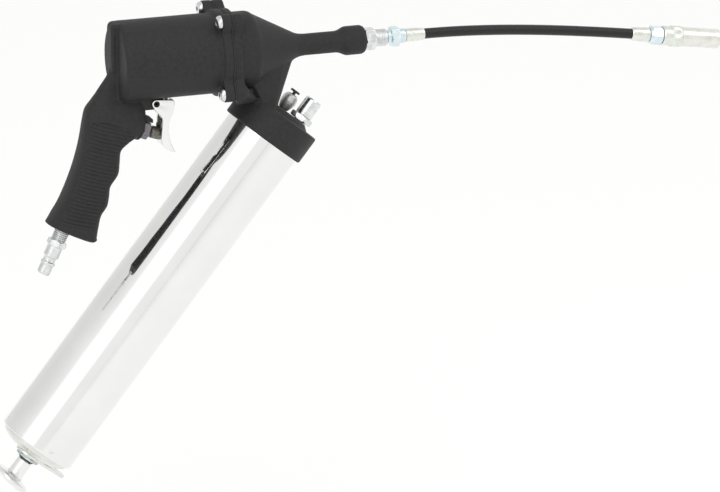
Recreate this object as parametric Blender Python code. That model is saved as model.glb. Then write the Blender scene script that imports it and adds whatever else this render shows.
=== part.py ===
"""Air-operated pistol-grip grease gun, modelled as the separate pieces it is assembled from.

Frame: origin on the flat rear face of the housing's spine, on the motor's axis.
+X runs along the motor towards the outlet, +Z is up, the grip and the barrel hang below.
All dimensions in this file are millimetres; MM turns them into metres.
"""

import math

import bmesh
import bpy
from mathutils import Matrix, Vector

MM = 0.001
GAP = 0.3                      # clearance between neighbouring pieces
ALONG_X = Vector((1.0, 0.0, 0.0))
ALONG_Y = Vector((0.0, 1.0, 0.0))
ORIGIN = Vector((0.0, 0.0, 0.0))

# Motor housing, along the motor axis (+X)
CYLINDER_R = 28.0
CYLINDER_REAR = 6.0
BORE_R = 22.0
BORE_REAR = 14.0
HOUSING_FLANGE_X = 73.8
JOINT_X = 80.4                 # front face of the housing's flange
FLANGE_R = 30.2
SPINE_HALF_WIDTH = 6.0
SPINE_TOP = 27.5
SPINE_FOOT = -6.0

# Flange screws, as (y, z): the lower pair stands wider than the upper one
UPPER_SCREWS = [(-21.0, 26.6), (21.0, 26.6)]
LOWER_SCREWS = [(-27.0, -22.8), (27.0, -22.8)]
EAR_R = 5.5
LOBE_ROOT = 0.7                # where an ear's root circle stands, as a part of its distance
LOBE_SPREAD = 3.0
SCREW_R = 2.2
SCREW_HEAD_R = 4.9
SCREW_HEAD_H = 3.2
SCREW_END_X = 87.4

# Head casting
GASKET_THICKNESS = 0.7
HEAD_X = JOINT_X + 2 * GAP + GASKET_THICKNESS
HEAD_FLANGE_END = 87.4
EAR_END_X = 88.5
BOSS_END_X = 95.0
HEAD_END_X = 185.6
PUMP_BORE_R = 3.3
SEAT_X = 146.0                 # where the outlet check ball sits
CHAMBER_R = 4.4
OUTLET_THREAD_R = 7.3
OUTLET_THREAD_X = 175.0

# Grease barrel: its axis meets the motor axis, and runs down and to the rear
BARREL_ANGLE = math.radians(51.05)
BARREL_DOWN = Vector((-math.cos(BARREL_ANGLE), 0.0, -math.sin(BARREL_ANGLE)))
BARREL_FRONT = Vector((math.sin(BARREL_ANGLE), 0.0, -math.cos(BARREL_ANGLE)))
COLLAR_FACE = Vector((110.8, 0.0, -63.9))   # centre of the collar's lower face, height 0
COLLAR_R = 31.2
COLLAR_HEIGHT = 20.7
PAD_R = 22.5
PAD_CHAMFER = 3.6
PAD_TOP = -24.2
SOCKET_TOP = -17.5
BARREL_R = 28.5
BARREL_WALL = 0.8
BARREL_TOP = -15.0
BARREL_END = 267.2
BARREL_ROLL = 1.6              # height of the rolled-in lower edge
CAP_HOLE_R = 6.8
CAP_FACE = BARREL_END + 6.7
LATCH_TOP = CAP_FACE + GAP
LATCH_BOTTOM = LATCH_TOP + 2.2
GLAND_HEX_TOP = LATCH_BOTTOM + GAP
GLAND_HEX_BOTTOM = GLAND_HEX_TOP + 2.0
ROD_R = 3.2
O_RING_THICKNESS = 1.0
KNOB_TOP = GLAND_HEX_BOTTOM + O_RING_THICKNESS + 2 * GAP
ROD_END = KNOB_TOP + 9.6
FOLLOWER_TOP = -8.0

# Fittings on the collar: offset to the front of the barrel's axis, and to the side
LOADER_FRONT = 15.4
BLEEDER_FRONT = 4.8
BLEEDER_SIDE = 11.0

# Valve and trigger
VALVE_FACE = Vector((22.1, 0.0, -49.4))     # centre of the valve boss's front face
VALVE_ANGLE = math.radians(20.0)
VALVE_OUT = Vector((math.cos(VALVE_ANGLE), 0.0, -math.sin(VALVE_ANGLE)))
VALVE_BORE_R = 4.3
VALVE_BOSS_R = 8.2
NUT_SEAT_R = 7.1
HOOD_UNDERSIDE = 7.2           # above the valve's axis
HOOD_REACH = 6.4
HOOD_HALF_WIDTH = 5.0
TRIGGER_PIVOT = Vector((31.4, 0.0, -30.9))
TRIGGER_HALF_WIDTH = 7.6
TRIGGER_SHEET = 1.5
PIN_R = 1.9
PIN_HOLE_R = 2.2
LUG_HALF_WIDTH = 5.7

# Grip foot and air plug
FOOT_REAR = Vector((-46.6, 0.0, -110.6))
FOOT_FRONT = Vector((-12.6, 0.0, -127.4))
PLUG_PLACE = 0.34              # where the air plug stands, as a part of the foot's length from its rear
PLUG_CENTER = FOOT_REAR.lerp(FOOT_FRONT, PLUG_PLACE)
PLUG_DOWN = (FOOT_REAR - FOOT_FRONT).cross(ALONG_Y).normalized()
PLUG_HOLE_R = 5.9

# Outlet hose: straight out of its ferrule, then drooping like a short beam
HOSE_START_X = 231.0
HOSE_SPAN = 159.3
HOSE_DROP = 14.0
HOSE_BEND = 3.6                # 3 for an even beam; higher bends more towards the end
HOSE_R = 3.7
HOSE_POINTS = 26
HOSE_END = Vector((HOSE_START_X + HOSE_SPAN, 0.0, -HOSE_DROP))
HOSE_END_ANGLE = math.atan(HOSE_DROP / HOSE_SPAN * (2 * HOSE_BEND - 3) / (HOSE_BEND - 1))
HOSE_END_DIRECTION = Vector((math.cos(HOSE_END_ANGLE), 0.0, -math.sin(HOSE_END_ANGLE)))

FINE = 36                      # sides of the large round pieces
MEDIUM = 24
COARSE = 12
COIL_STEPS = 9
HEX = "hex"
EDGE_TURN = 0.37


# ---------------------------------------------------------------- materials

def material(name, color, roughness, metallic=0.0):
    made = bpy.data.materials.new(name)
    made.use_nodes = True
    shader = made.node_tree.nodes["Principled BSDF"]
    shader.inputs["Base Color"].default_value = (*color, 1.0)
    shader.inputs["Roughness"].default_value = roughness
    shader.inputs["Metallic"].default_value = metallic
    return made


def clear_scene():
    for obj in list(bpy.data.objects):
        bpy.data.objects.remove(obj, do_unlink=True)


# ---------------------------------------------------------------- building blocks

def axis_place(origin, direction):
    """Matrix that puts a piece made along +Z on an axis that lies in the XZ plane."""
    turn = Matrix.Rotation(math.atan2(direction.x, direction.z), 4, "Y")
    return Matrix.Translation(origin * MM) @ turn


def new_object(name, mesh, paint):
    obj = bpy.data.objects.new(name, mesh)
    bpy.context.scene.collection.objects.link(obj)
    if paint:
        mesh.materials.append(paint)
    return obj


def finish_mesh(name, shape, paint):
    bmesh.ops.recalc_face_normals(shape, faces=shape.faces)
    mesh = bpy.data.meshes.new(name)
    shape.to_mesh(mesh)
    shape.free()
    mesh.shade_smooth()
    mesh.set_sharp_from_angle(angle=math.radians(32.0))
    return new_object(name, mesh, paint)


def ring_radius(point, angle):
    """A profile point's radius at an angle: round, or a hexagon given by half its flat width."""
    if len(point) < 3:
        return point[0]
    sector = math.radians(60.0)
    return point[0] / math.cos((angle + sector / 2) % sector - sector / 2)


def turned(name, profile, place, paint, segments=MEDIUM):
    """Turn a profile of (radius, height) points about +Z.

    A profile that starts and ends on the axis makes a solid; any other is closed into a ring.
    """
    shape = bmesh.new()
    rings = []
    for point in profile:
        height = point[1] * MM
        if point[0] == 0:
            rings.append([shape.verts.new((0.0, 0.0, height))])
            continue
        ring = []
        for step in range(segments):
            angle = 2 * math.pi * step / segments
            radius = ring_radius(point, angle) * MM
            ring.append(shape.verts.new((radius * math.cos(angle), radius * math.sin(angle), height)))
        rings.append(ring)
    pairs = list(zip(rings, rings[1:]))
    if profile[0][0] > 0:
        pairs.append((rings[-1], rings[0]))
    for first, second in pairs:
        bridge(shape, first, second, segments)
    obj = finish_mesh(name, shape, paint)
    obj.matrix_world = place
    return obj


def bridge(shape, first, second, segments):
    for step in range(segments):
        after = (step + 1) % segments
        if len(first) == 1:
            shape.faces.new((first[0], second[step], second[after]))
        elif len(second) == 1:
            shape.faces.new((first[step], first[after], second[0]))
        else:
            shape.faces.new((first[step], first[after], second[after], second[step]))


def loft(name, rings, paint):
    """Skin a row of rings that have the same number of points, and close both ends."""
    shape = bmesh.new()
    made = [[shape.verts.new(point * MM) for point in ring] for ring in rings]
    count = len(made[0])
    for first, second in zip(made, made[1:]):
        bridge(shape, first, second, count)
    shape.faces.new(made[0])
    shape.faces.new(list(reversed(made[-1])))
    return finish_mesh(name, shape, paint)


def prism(name, outline, half_width, paint):
    """Extrude an outline of (x, z) points across the width."""
    near = [Vector((x, -half_width, z)) for x, z in outline]
    far = [Vector((x, half_width, z)) for x, z in outline]
    return loft(name, [near, far], paint)


def hull(name, points):
    """Convex solid around a set of points."""
    shape = bmesh.new()
    for point in points:
        shape.verts.new(point * MM)
    result = bmesh.ops.convex_hull(shape, input=shape.verts)
    unused = [item for item in result["geom_interior"] if isinstance(item, bmesh.types.BMVert)]
    bmesh.ops.delete(shape, geom=unused, context="VERTS")
    return finish_mesh(name, shape, None)


def rod(name, radius, start, end, segments=COARSE):
    """Plain cylinder between two points of the XZ plane, for cuts and bosses.

    It is turned on its axis by a part of its radius, so that no two meet edge on edge.
    """
    length = (end - start).length
    profile = [(0, 0), (radius, 0), (radius, length), (0, length)]
    place = axis_place(start, end - start) @ Matrix.Rotation(radius * EDGE_TURN, 4, "Z")
    return turned(name, profile, place, None, segments)


def cross_rod(name, radius, center, half_width):
    """Plain cylinder across the width."""
    profile = [(0, -half_width), (radius, -half_width), (radius, half_width), (0, half_width)]
    place = Matrix.Translation(center * MM) @ Matrix.Rotation(math.radians(-90.0), 4, "X")
    return turned(name, profile, place, None, COARSE)


def combine(obj, tools, operation):
    """Add or cut tools with Boolean modifiers; the tools themselves are not part of the gun."""
    for tool in tools:
        modifier = obj.modifiers.new(tool.name, "BOOLEAN")
        modifier.operation = operation
        modifier.solver = "EXACT"
        modifier.object = tool
        tool.hide_render = True
        tool.display_type = "WIRE"


def coil(name, mean_r, wire_r, start, end, turns, place, paint, sides=4):
    """Compression spring along +Z, between two heights, as one closed helical tube."""
    steps = turns * COIL_STEPS
    low = start + wire_r
    pitch = (end - start - 2 * wire_r) / turns
    shape = bmesh.new()
    rings = []
    for step in range(steps + 1):
        angle = 2 * math.pi * turns * step / steps
        outward = Vector((math.cos(angle), math.sin(angle), 0.0))
        center = outward * mean_r + Vector((0.0, 0.0, low + pitch * turns * step / steps))
        ring = []
        for side in range(sides):
            turn = 2 * math.pi * side / sides
            offset = outward * math.cos(turn) + Vector((0.0, 0.0, math.sin(turn)))
            ring.append(shape.verts.new((center + offset * wire_r) * MM))
        rings.append(ring)
    for first, second in zip(rings, rings[1:]):
        bridge(shape, first, second, sides)
    shape.faces.new(rings[0])
    shape.faces.new(list(reversed(rings[-1])))
    obj = finish_mesh(name, shape, paint)
    obj.matrix_world = place
    return obj


def smooth_through(points, between):
    """Catmull-Rom curve through points, with a number of steps between each two."""
    padded = [2 * points[0] - points[1], *points, 2 * points[-1] - points[-2]]
    curve = []
    for a, b, c, d in zip(padded, padded[1:], padded[2:], padded[3:]):
        for step in range(between):
            t = step / between
            curve.append(0.5 * (2 * b + (c - a) * t + (2 * a - 5 * b + 4 * c - d) * t * t
                                + (3 * b - a - 3 * c + d) * t * t * t))
    curve.append(points[-1])
    return curve


def barrel_place(front=0.0, side=0.0):
    """Place on the barrel's axis or beside it, with heights counted down the barrel."""
    return axis_place(COLLAR_FACE + BARREL_FRONT * front + ALONG_Y * side, BARREL_DOWN)


def barrel_point(height, front=0.0, side=0.0):
    return COLLAR_FACE + BARREL_DOWN * height + BARREL_FRONT * front + ALONG_Y * side


# ---------------------------------------------------------------- housing

# Stations down the grip: rear x, rear z, front x, front z, half width
GRIP_STATIONS = [
    (0.2, -3.0, 19.0, -8.0, 6.0),
    (-1.5, -9.0, 20.0, -15.0, 6.1),
    (-5.1, -14.3, 22.0, -22.0, 6.5),
    (-9.1, -19.9, 23.6, -28.0, 7.8),
    (-13.2, -25.8, 24.4, -33.0, 10.0),
    (-17.6, -31.8, 25.0, -38.0, 12.0),
    (-19.6, -40.0, 24.8, -44.5, 13.4),
    (-21.0, -48.4, 20.8, -51.6, 14.1),
    (-22.3, -55.5, 12.8, -56.4, 14.4),
    (-23.8, -62.0, 6.6, -61.8, 14.6),
    (-26.1, -69.6, 5.4, -70.4, 14.9),
    (-29.0, -77.6, 4.2, -78.4, 15.1),
    (-32.2, -85.6, -1.4, -86.4, 15.3),
    (-35.6, -92.8, -2.6, -94.0, 15.4),
    (-38.6, -98.2, -4.0, -100.4, 15.4),
    (-41.8, -103.0, -8.4, -107.0, 15.3),
    (-44.8, -107.6, -10.6, -116.0, 15.1),
    (-46.5, -109.9, -12.0, -124.4, 14.8),
    (FOOT_REAR.x, FOOT_REAR.z, FOOT_FRONT.x, FOOT_FRONT.z, 13.6),
]
GRIP_RING_POINTS = 24
GRIP_SQUARENESS = 2.5


def grip_ring(rear, front, half_width):
    """Rounded section between a rear and a front point, square to the grip's side view."""
    center = (rear + front) / 2
    reach = (front - rear) / 2
    ring = []
    for step in range(GRIP_RING_POINTS):
        angle = 2 * math.pi * (step + 0.5) / GRIP_RING_POINTS
        along = math.copysign(abs(math.cos(angle)) ** (2 / GRIP_SQUARENESS), math.cos(angle))
        across = math.copysign(abs(math.sin(angle)) ** (2 / GRIP_SQUARENESS), math.sin(angle))
        ring.append(center + reach * along + ALONG_Y * half_width * across)
    return ring


def grip_body():
    rears = smooth_through([Vector((s[0], 0.0, s[1])) for s in GRIP_STATIONS], 2)
    fronts = smooth_through([Vector((s[2], 0.0, s[3])) for s in GRIP_STATIONS], 2)
    widths = smooth_through([Vector((s[4], 0.0, 0.0)) for s in GRIP_STATIONS], 2)
    rings = [grip_ring(rear, front, width.x) for rear, front, width in zip(rears, fronts, widths)]
    return loft("grip_shape", rings, None)


def spine_body():
    """Flat-backed rib down the rear of the cylinder."""
    front = CYLINDER_REAR + 5.0
    chamfer = 1.4
    ring = [(front, -SPINE_HALF_WIDTH), (chamfer, -SPINE_HALF_WIDTH), (0.0, chamfer - SPINE_HALF_WIDTH),
            (0.0, SPINE_HALF_WIDTH - chamfer), (chamfer, SPINE_HALF_WIDTH), (front, SPINE_HALF_WIDTH)]
    low = [Vector((x, y, SPINE_FOOT)) for x, y in ring]
    high = [Vector((x, y, SPINE_TOP)) for x, y in ring]
    return loft("spine_shape", [low, high], None)


def screw_rods(name, start, end, radius):
    """Cylinders around the flange screws' axes."""
    made = []
    for number, (y, z) in enumerate(UPPER_SCREWS + LOWER_SCREWS, 1):
        made.append(rod(f"{name}_{number}", radius, Vector((start, y, z)), Vector((end, y, z))))
    return made


def lobes(name, start, end, radius, places=UPPER_SCREWS + LOWER_SCREWS):
    """Rounded ears that stand out of the flange around its screws."""
    made = []
    for number, (y, z) in enumerate(places, 1):
        points = []
        for share, reach in ((1.0, radius), (LOBE_ROOT, radius + LOBE_SPREAD)):
            for step in range(COARSE):
                angle = 2 * math.pi * (step + EDGE_TURN) / COARSE
                for x in (start, end):
                    points.append(Vector((x, y * share + reach * math.cos(angle),
                                          z * share + reach * math.sin(angle))))
        made.append(hull(f"{name}_{number}", points))
    return made


def valve_hood():
    """Lip of the casting that shields the valve nut from above."""
    above = Vector((math.sin(VALVE_ANGLE), 0.0, math.cos(VALVE_ANGLE)))
    under = VALVE_FACE + above * HOOD_UNDERSIDE
    outline = [under - VALVE_OUT * 4.0, under + VALVE_OUT * HOOD_REACH,
               under + VALVE_OUT * (HOOD_REACH - 0.4) + above * 0.8, under + VALVE_OUT * 3.0 + above * 2.4,
               under - VALVE_OUT * 4.0 + above * 3.4]
    return prism("hood_shape", [(point.x, point.z) for point in outline], HOOD_HALF_WIDTH, None)


def motor_housing(paint):
    """Cylinder, spine, grip, flange ears, valve boss and trigger lug in one casting."""
    corner = 4.0
    profile = [(0, CYLINDER_REAR)]
    for step in range(5):
        angle = math.radians(90.0 - 22.5 * step)
        profile.append((CYLINDER_R - corner + corner * math.cos(angle),
                        CYLINDER_REAR + corner - corner * math.sin(angle)))
    profile += [(CYLINDER_R, HOUSING_FLANGE_X), (FLANGE_R, HOUSING_FLANGE_X + 0.6),
                (FLANGE_R, JOINT_X), (0, JOINT_X)]
    housing = turned("motor_housing", profile, axis_place(ORIGIN, ALONG_X), paint, FINE)
    boss_top = VALVE_FACE - VALVE_OUT * 12.0
    lug = prism("lug_shape", [(20.0, -24.0), (20.0, -35.2), (33.0, -35.2), (36.0, -32.8), (37.0, -29.6),
                              (37.0, -24.0)], LUG_HALF_WIDTH, None)
    added = [grip_body(), spine_body(), lug, valve_hood(),
             rod("valve_boss_shape", VALVE_BOSS_R, boss_top, VALVE_FACE, COARSE),
             *lobes("ear_shape", HOUSING_FLANGE_X - 0.4, JOINT_X - 0.1, EAR_R)]
    combine(housing, added, "UNION")
    air_way = PLUG_CENTER - PLUG_DOWN * 30.0
    valve_end = VALVE_FACE - VALVE_OUT * 26.0
    cut = [rod("bore_cut", BORE_R, Vector((BORE_REAR, 0, 0)), Vector((JOINT_X + 5, 0, 0)), FINE),
           rod("nut_seat_cut", NUT_SEAT_R, VALVE_FACE, VALVE_FACE + VALVE_OUT * 10.0, MEDIUM),
           rod("valve_bore_cut", VALVE_BORE_R, valve_end, VALVE_FACE + VALVE_OUT * 5.0),
           rod("plug_cut", PLUG_HOLE_R, PLUG_CENTER + PLUG_DOWN * 3.0, PLUG_CENTER - PLUG_DOWN * 14.0),
           rod("air_way_cut", 3.0, PLUG_CENTER, air_way),
           rod("air_rise_cut", 2.6, air_way + PLUG_DOWN * 2.0, valve_end + VALVE_OUT * 3.0),
           rod("port_cut", 2.5, valve_end + VALVE_OUT * 6.0, Vector((BORE_REAR + 3.0, 0, -10.0))),
           cross_rod("lug_pin_cut", PIN_HOLE_R, TRIGGER_PIVOT, 12.0),
           *screw_rods("screw_way_cut", HOUSING_FLANGE_X - 8.0, JOINT_X + 3.0, SCREW_R + GAP),
           *screw_rods("screw_seat_cut", HOUSING_FLANGE_X - 8.0, HOUSING_FLANGE_X, SCREW_HEAD_R + 0.4)]
    combine(housing, cut, "DIFFERENCE")
    return housing


# ---------------------------------------------------------------- head

# Radius and X of the head from its shoulder to its outlet boss
HEAD_R = 27.2
HEAD_OUTLINE = [(HEAD_R, 99.4), (26.6, 101.4), (25.4, 102.8), (9.0, 134.2), (8.0, 137.4), (7.6, 141.0),
                (7.6, 165.0), (8.3, 167.6), (9.9, 170.8), (10.2, 172.2), (10.2, 183.0), (9.4, 184.9)]


def neck_shape():
    """Tapered block that joins the outlet cone to the barrel's collar."""
    upper = [(88.0, 23.0), (100.0, 21.0), (112.0, 16.5), (122.6, 12.0), (129.9, 7.0), (131.9, 3.0)]
    lower = [(-27.0, 14.0), (-21.0, 19.0), (-13.5, 19.5), (-9.8, 15.0), (-7.2, 7.0)]
    points = []
    for sign in (-1, 1):
        points += [Vector((x, sign * y, -4.0 - 0.12 * (x - 88.0))) for x, y in upper]
        points += [barrel_point(-COLLAR_HEIGHT + 1.5, front, sign * side) for front, side in lower]
    return hull("neck_shape", points)


def head_casting(paint):
    """Flange, outlet cone, spout, outlet boss, neck and barrel collar in one casting."""
    profile = [(0, HEAD_X), (FLANGE_R, HEAD_X), (FLANGE_R, HEAD_FLANGE_END - 0.8),
               (HEAD_R, HEAD_FLANGE_END), *HEAD_OUTLINE, (8.4, HEAD_END_X), (0, HEAD_END_X)]
    head = turned("head_casting", profile, axis_place(ORIGIN, ALONG_X), paint, FINE)
    collar_profile = [(0, PAD_TOP), (PAD_R - PAD_CHAMFER, PAD_TOP), (PAD_R, -COLLAR_HEIGHT - 0.3),
                      (PAD_R, -COLLAR_HEIGHT), (COLLAR_R - 0.8, -COLLAR_HEIGHT),
                      (COLLAR_R, 0.8 - COLLAR_HEIGHT), (COLLAR_R, -0.6), (COLLAR_R - 0.6, 0.0), (0, 0.0)]
    collar = turned("collar_shape", collar_profile, barrel_place(), None, FINE)
    added = [neck_shape(), collar,
             *lobes("head_ear_shape", HEAD_X + 0.1, EAR_END_X, EAR_R),
             *lobes("boss_shape", HEAD_X + 1.0, BOSS_END_X, EAR_R - 0.4, LOWER_SCREWS)]
    combine(head, added, "UNION")
    cut = [rod("socket_cut", BARREL_R + GAP, barrel_point(SOCKET_TOP), barrel_point(3.0), FINE),
           rod("pump_bore_cut", PUMP_BORE_R, Vector((HEAD_X - 3, 0, 0)), Vector((SEAT_X + 2, 0, 0))),
           rod("packing_cut", 7.0, Vector((HEAD_X - 3, 0, 0)), Vector((HEAD_X + 8, 0, 0))),
           rod("chamber_cut", CHAMBER_R, Vector((SEAT_X, 0, 0)), Vector((OUTLET_THREAD_X + 2, 0, 0))),
           rod("outlet_cut", OUTLET_THREAD_R, Vector((OUTLET_THREAD_X, 0, 0)),
               Vector((HEAD_END_X + 3, 0, 0))),
           rod("grease_way_cut", 4.2, Vector((110.0, 0, -58.0)), Vector((114.0, 0, 0.0))),
           rod("loader_cut", 4.3, barrel_point(SOCKET_TOP + 3, LOADER_FRONT),
               barrel_point(-30.0, LOADER_FRONT)),
           rod("bleeder_cut", 3.4, barrel_point(SOCKET_TOP + 3, BLEEDER_FRONT, BLEEDER_SIDE),
               barrel_point(-30.0, BLEEDER_FRONT, BLEEDER_SIDE)),
           *screw_rods("tapped_cut", HEAD_X - 3.0, SCREW_END_X + GAP, SCREW_R + GAP)]
    combine(head, cut, "DIFFERENCE")
    return head


def flange_gasket(paint):
    start = JOINT_X + GAP
    profile = [(BORE_R + 1.0, start), (FLANGE_R - 0.4, start), (FLANGE_R - 0.4, start + GASKET_THICKNESS),
               (BORE_R + 1.0, start + GASKET_THICKNESS)]
    gasket = turned("flange_gasket", profile, axis_place(ORIGIN, ALONG_X), paint)
    combine(gasket, lobes("gasket_ear_shape", start, start + GASKET_THICKNESS, EAR_R - 0.4), "UNION")
    bore = rod("gasket_bore_cut", BORE_R + 1.0, Vector((start - 2.0, 0, 0)),
               Vector((start + 3.0, 0, 0)), FINE)
    combine(gasket, [bore, *screw_rods("gasket_cut", start - 2.0, start + 3.0, SCREW_R + GAP)], "DIFFERENCE")


def flange_screws(paint):
    """Button-head screws with a hexagon socket; the heads seat on the housing's ears."""
    seat = HOUSING_FLANGE_X - GAP
    top = seat - SCREW_HEAD_H
    profile = [(0, top + 1.8), (1.5, top + 1.8, HEX), (1.5, top, HEX), (2.6, top),
               (3.9, top + 0.6), (SCREW_HEAD_R, top + 2.1), (SCREW_HEAD_R, seat), (SCREW_R, seat),
               (SCREW_R, SCREW_END_X - 0.6), (SCREW_R - 0.6, SCREW_END_X), (0, SCREW_END_X)]
    for number, (y, z) in enumerate(UPPER_SCREWS + LOWER_SCREWS, 1):
        turned(f"flange_screw_{number}", profile, axis_place(Vector((0, y, z)), ALONG_X), paint, COARSE)


# ---------------------------------------------------------------- air motor and pump

PISTON_REAR = 16.0
PISTON_FRONT = 25.0
PLUNGER_END = 120.0


def air_motor(steel, rubber):
    place = axis_place(ORIGIN, ALONG_X)
    groove = BORE_R - 2.6
    turned("air_piston", [(0, PISTON_REAR), (BORE_R - 1.2, PISTON_REAR), (BORE_R - 0.4, PISTON_REAR + 0.8),
                          (BORE_R - 0.4, 18.6), (groove, 18.6), (groove, 21.4), (BORE_R - 0.4, 21.4),
                          (BORE_R - 0.4, PISTON_FRONT), (0, PISTON_FRONT)], place, steel, MEDIUM)
    turned("piston_seal", [(groove + GAP, 18.9), (BORE_R - 0.2, 18.9), (BORE_R - 0.2, 21.1),
                           (groove + GAP, 21.1)], place, rubber, MEDIUM)
    turned("pump_plunger", [(0, PISTON_FRONT + GAP), (5.0, PISTON_FRONT + GAP), (5.0, 28.6), (3.0, 29.4),
                            (3.0, PLUNGER_END - 0.6), (2.4, PLUNGER_END), (0, PLUNGER_END)],
           place, steel, COARSE)
    turned("plunger_packing", [(PUMP_BORE_R - 0.05, HEAD_X + 2.0), (6.7, HEAD_X + 2.0),
                               (6.7, HEAD_X + 7.7), (PUMP_BORE_R - 0.05, HEAD_X + 7.7)],
           place, rubber, COARSE)
    coil("piston_spring", 12.0, 0.9, PISTON_FRONT + GAP, HEAD_X - GAP, 8, place, steel)


def outlet_check(steel):
    ball_r = 3.9
    ball_x = SEAT_X + GAP + math.sqrt(ball_r ** 2 - PUMP_BORE_R ** 2)
    profile = [(0, -ball_r)]
    for step in range(1, 10):
        angle = math.pi * step / 10
        profile.append((ball_r * math.sin(angle), -ball_r * math.cos(angle)))
    profile.append((0, ball_r))
    turned("check_ball", profile, axis_place(Vector((ball_x, 0, 0)), ALONG_X), steel, COARSE)
    coil("check_spring", 3.0, 0.35, ball_x + ball_r + GAP, OUTLET_THREAD_X, 7,
         axis_place(ORIGIN, ALONG_X), steel)


# ---------------------------------------------------------------- valve and trigger

BUTTON_REAR = 6.4
BUTTON_END = 16.5


def valve(steel, brass, rubber):
    place = axis_place(VALVE_FACE, VALVE_OUT)
    turned("valve_nut", [(2.3, -5.0), (3.9, -5.0), (3.9, GAP), (5.5, GAP), (5.9, GAP + 0.4, HEX),
                         (5.9, 4.9, HEX), (5.5, 5.4), (4.6, 5.4), (4.6, 2.6), (2.3, 2.6)],
           place, steel, MEDIUM)
    turned("valve_plunger", [(0, -20.0), (1.9, -20.0), (1.9, BUTTON_REAR), (4.2, BUTTON_REAR + 0.3),
                             (4.2, BUTTON_END - 1.4), (3.6, BUTTON_END - 0.4), (2.0, BUTTON_END),
                             (0, BUTTON_END)], place, brass, COARSE)
    turned("valve_seal", [(2.2, -7.6), (4.0, -7.6), (4.0, -5.4), (2.2, -5.4)], place, rubber, COARSE)
    coil("valve_spring", 3.1, 0.4, -19.0, -8.0, 5, place, steel)


# Trigger side view, as (x, z): the front face down to the tip, then the rear edge up to the eye
TRIGGER_FRONT = [(43.4, -28.9), (44.4, -30.4), (44.3, -33.6), (43.2, -37.6), (41.6, -41.4), (40.4, -45.8),
                 (40.0, -50.6), (40.8, -56.6), (42.6, -62.0), (44.8, -66.4)]
TRIGGER_REAR = [(43.4, -66.3), (39.6, -64.4), (36.2, -61.8), (34.8, -59.0), (34.6, -55.6), (35.0, -50.6),
                (35.4, -46.0), (35.6, -42.4), (33.6, -38.8), (30.4, -35.6)]
EYE_R = 3.2


def trigger(paint):
    """Folded channel: two side plates with an eye for the pin, joined by the finger face."""
    pivot = TRIGGER_PIVOT
    eye = []
    for step in range(8):
        angle = math.radians(215.0 - 18.0 * step)
        eye.append((pivot.x + EYE_R * math.cos(angle), pivot.z + EYE_R * math.sin(angle)))
    body = prism("trigger", TRIGGER_FRONT + TRIGGER_REAR + eye, TRIGGER_HALF_WIDTH, paint)
    inner = [(x - TRIGGER_SHEET, z + 0.4) for x, z in TRIGGER_FRONT]
    inner[0] = (inner[0][0], -20.0)
    inner[-1] = (41.6, -72.0)
    inner += [(20.0, -72.0), (20.0, -20.0)]
    channel = prism("trigger_channel_cut", inner, TRIGGER_HALF_WIDTH - TRIGGER_SHEET, None)
    combine(body, [channel, cross_rod("trigger_pin_cut", PIN_HOLE_R, pivot, 12.0)], "DIFFERENCE")
    bevel = body.modifiers.new("edges", "BEVEL")
    bevel.width = 0.25 * MM
    bevel.segments = 1
    bevel.limit_method = "ANGLE"
    bevel.angle_limit = math.radians(50.0)
    centre_on(body, pivot)


def centre_on(obj, point):
    """Move an object's origin to a point without moving its shape."""
    obj.data.transform(Matrix.Translation(-point * MM))
    obj.location = point * MM


def trigger_pin(paint):
    half = TRIGGER_HALF_WIDTH - 0.6
    place = Matrix.Translation(TRIGGER_PIVOT * MM) @ Matrix.Rotation(math.radians(-90.0), 4, "X")
    turned("trigger_pin", [(1.0, -half), (PIN_R, -half), (PIN_R, half), (1.0, half)], place, paint, COARSE)


def air_plug(paint):
    """Quick-connect plug: thread, hexagon, stem and the grooved nose a hose coupling grips."""
    profile = [(2.6, -10.0), (5.1, -10.0), (5.4, -9.4), (5.4, 7.8), (6.0, 8.1), (6.4, 8.8, HEX),
               (6.4, 11.6, HEX), (5.9, 12.3), (5.5, 12.6), (5.5, 20.0), (4.4, 21.2), (4.3, 23.6), (5.2, 24.4),
               (5.2, 25.8), (4.6, 26.4), (4.6, 32.6), (4.1, 33.5), (2.6, 33.5)]
    turned("air_plug", profile, axis_place(PLUG_CENTER, PLUG_DOWN), paint, MEDIUM)


# ---------------------------------------------------------------- barrel

def barrel_tube(paint):
    """Thin chromed tube, rolled in at its lower end to hold the end cap."""
    inner = BARREL_R - BARREL_WALL
    profile = [(inner, BARREL_TOP), (BARREL_R, BARREL_TOP), (BARREL_R, BARREL_END - BARREL_ROLL),
               (BARREL_R - 0.3, BARREL_END - 0.8), (BARREL_R - 1.0, BARREL_END - 0.2),
               (BARREL_R - 1.8, BARREL_END), (BARREL_R - 1.8, BARREL_END - 0.8),
               (inner, BARREL_END - 1.8)]
    turned("barrel_tube", profile, barrel_place(), paint, FINE)


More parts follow.
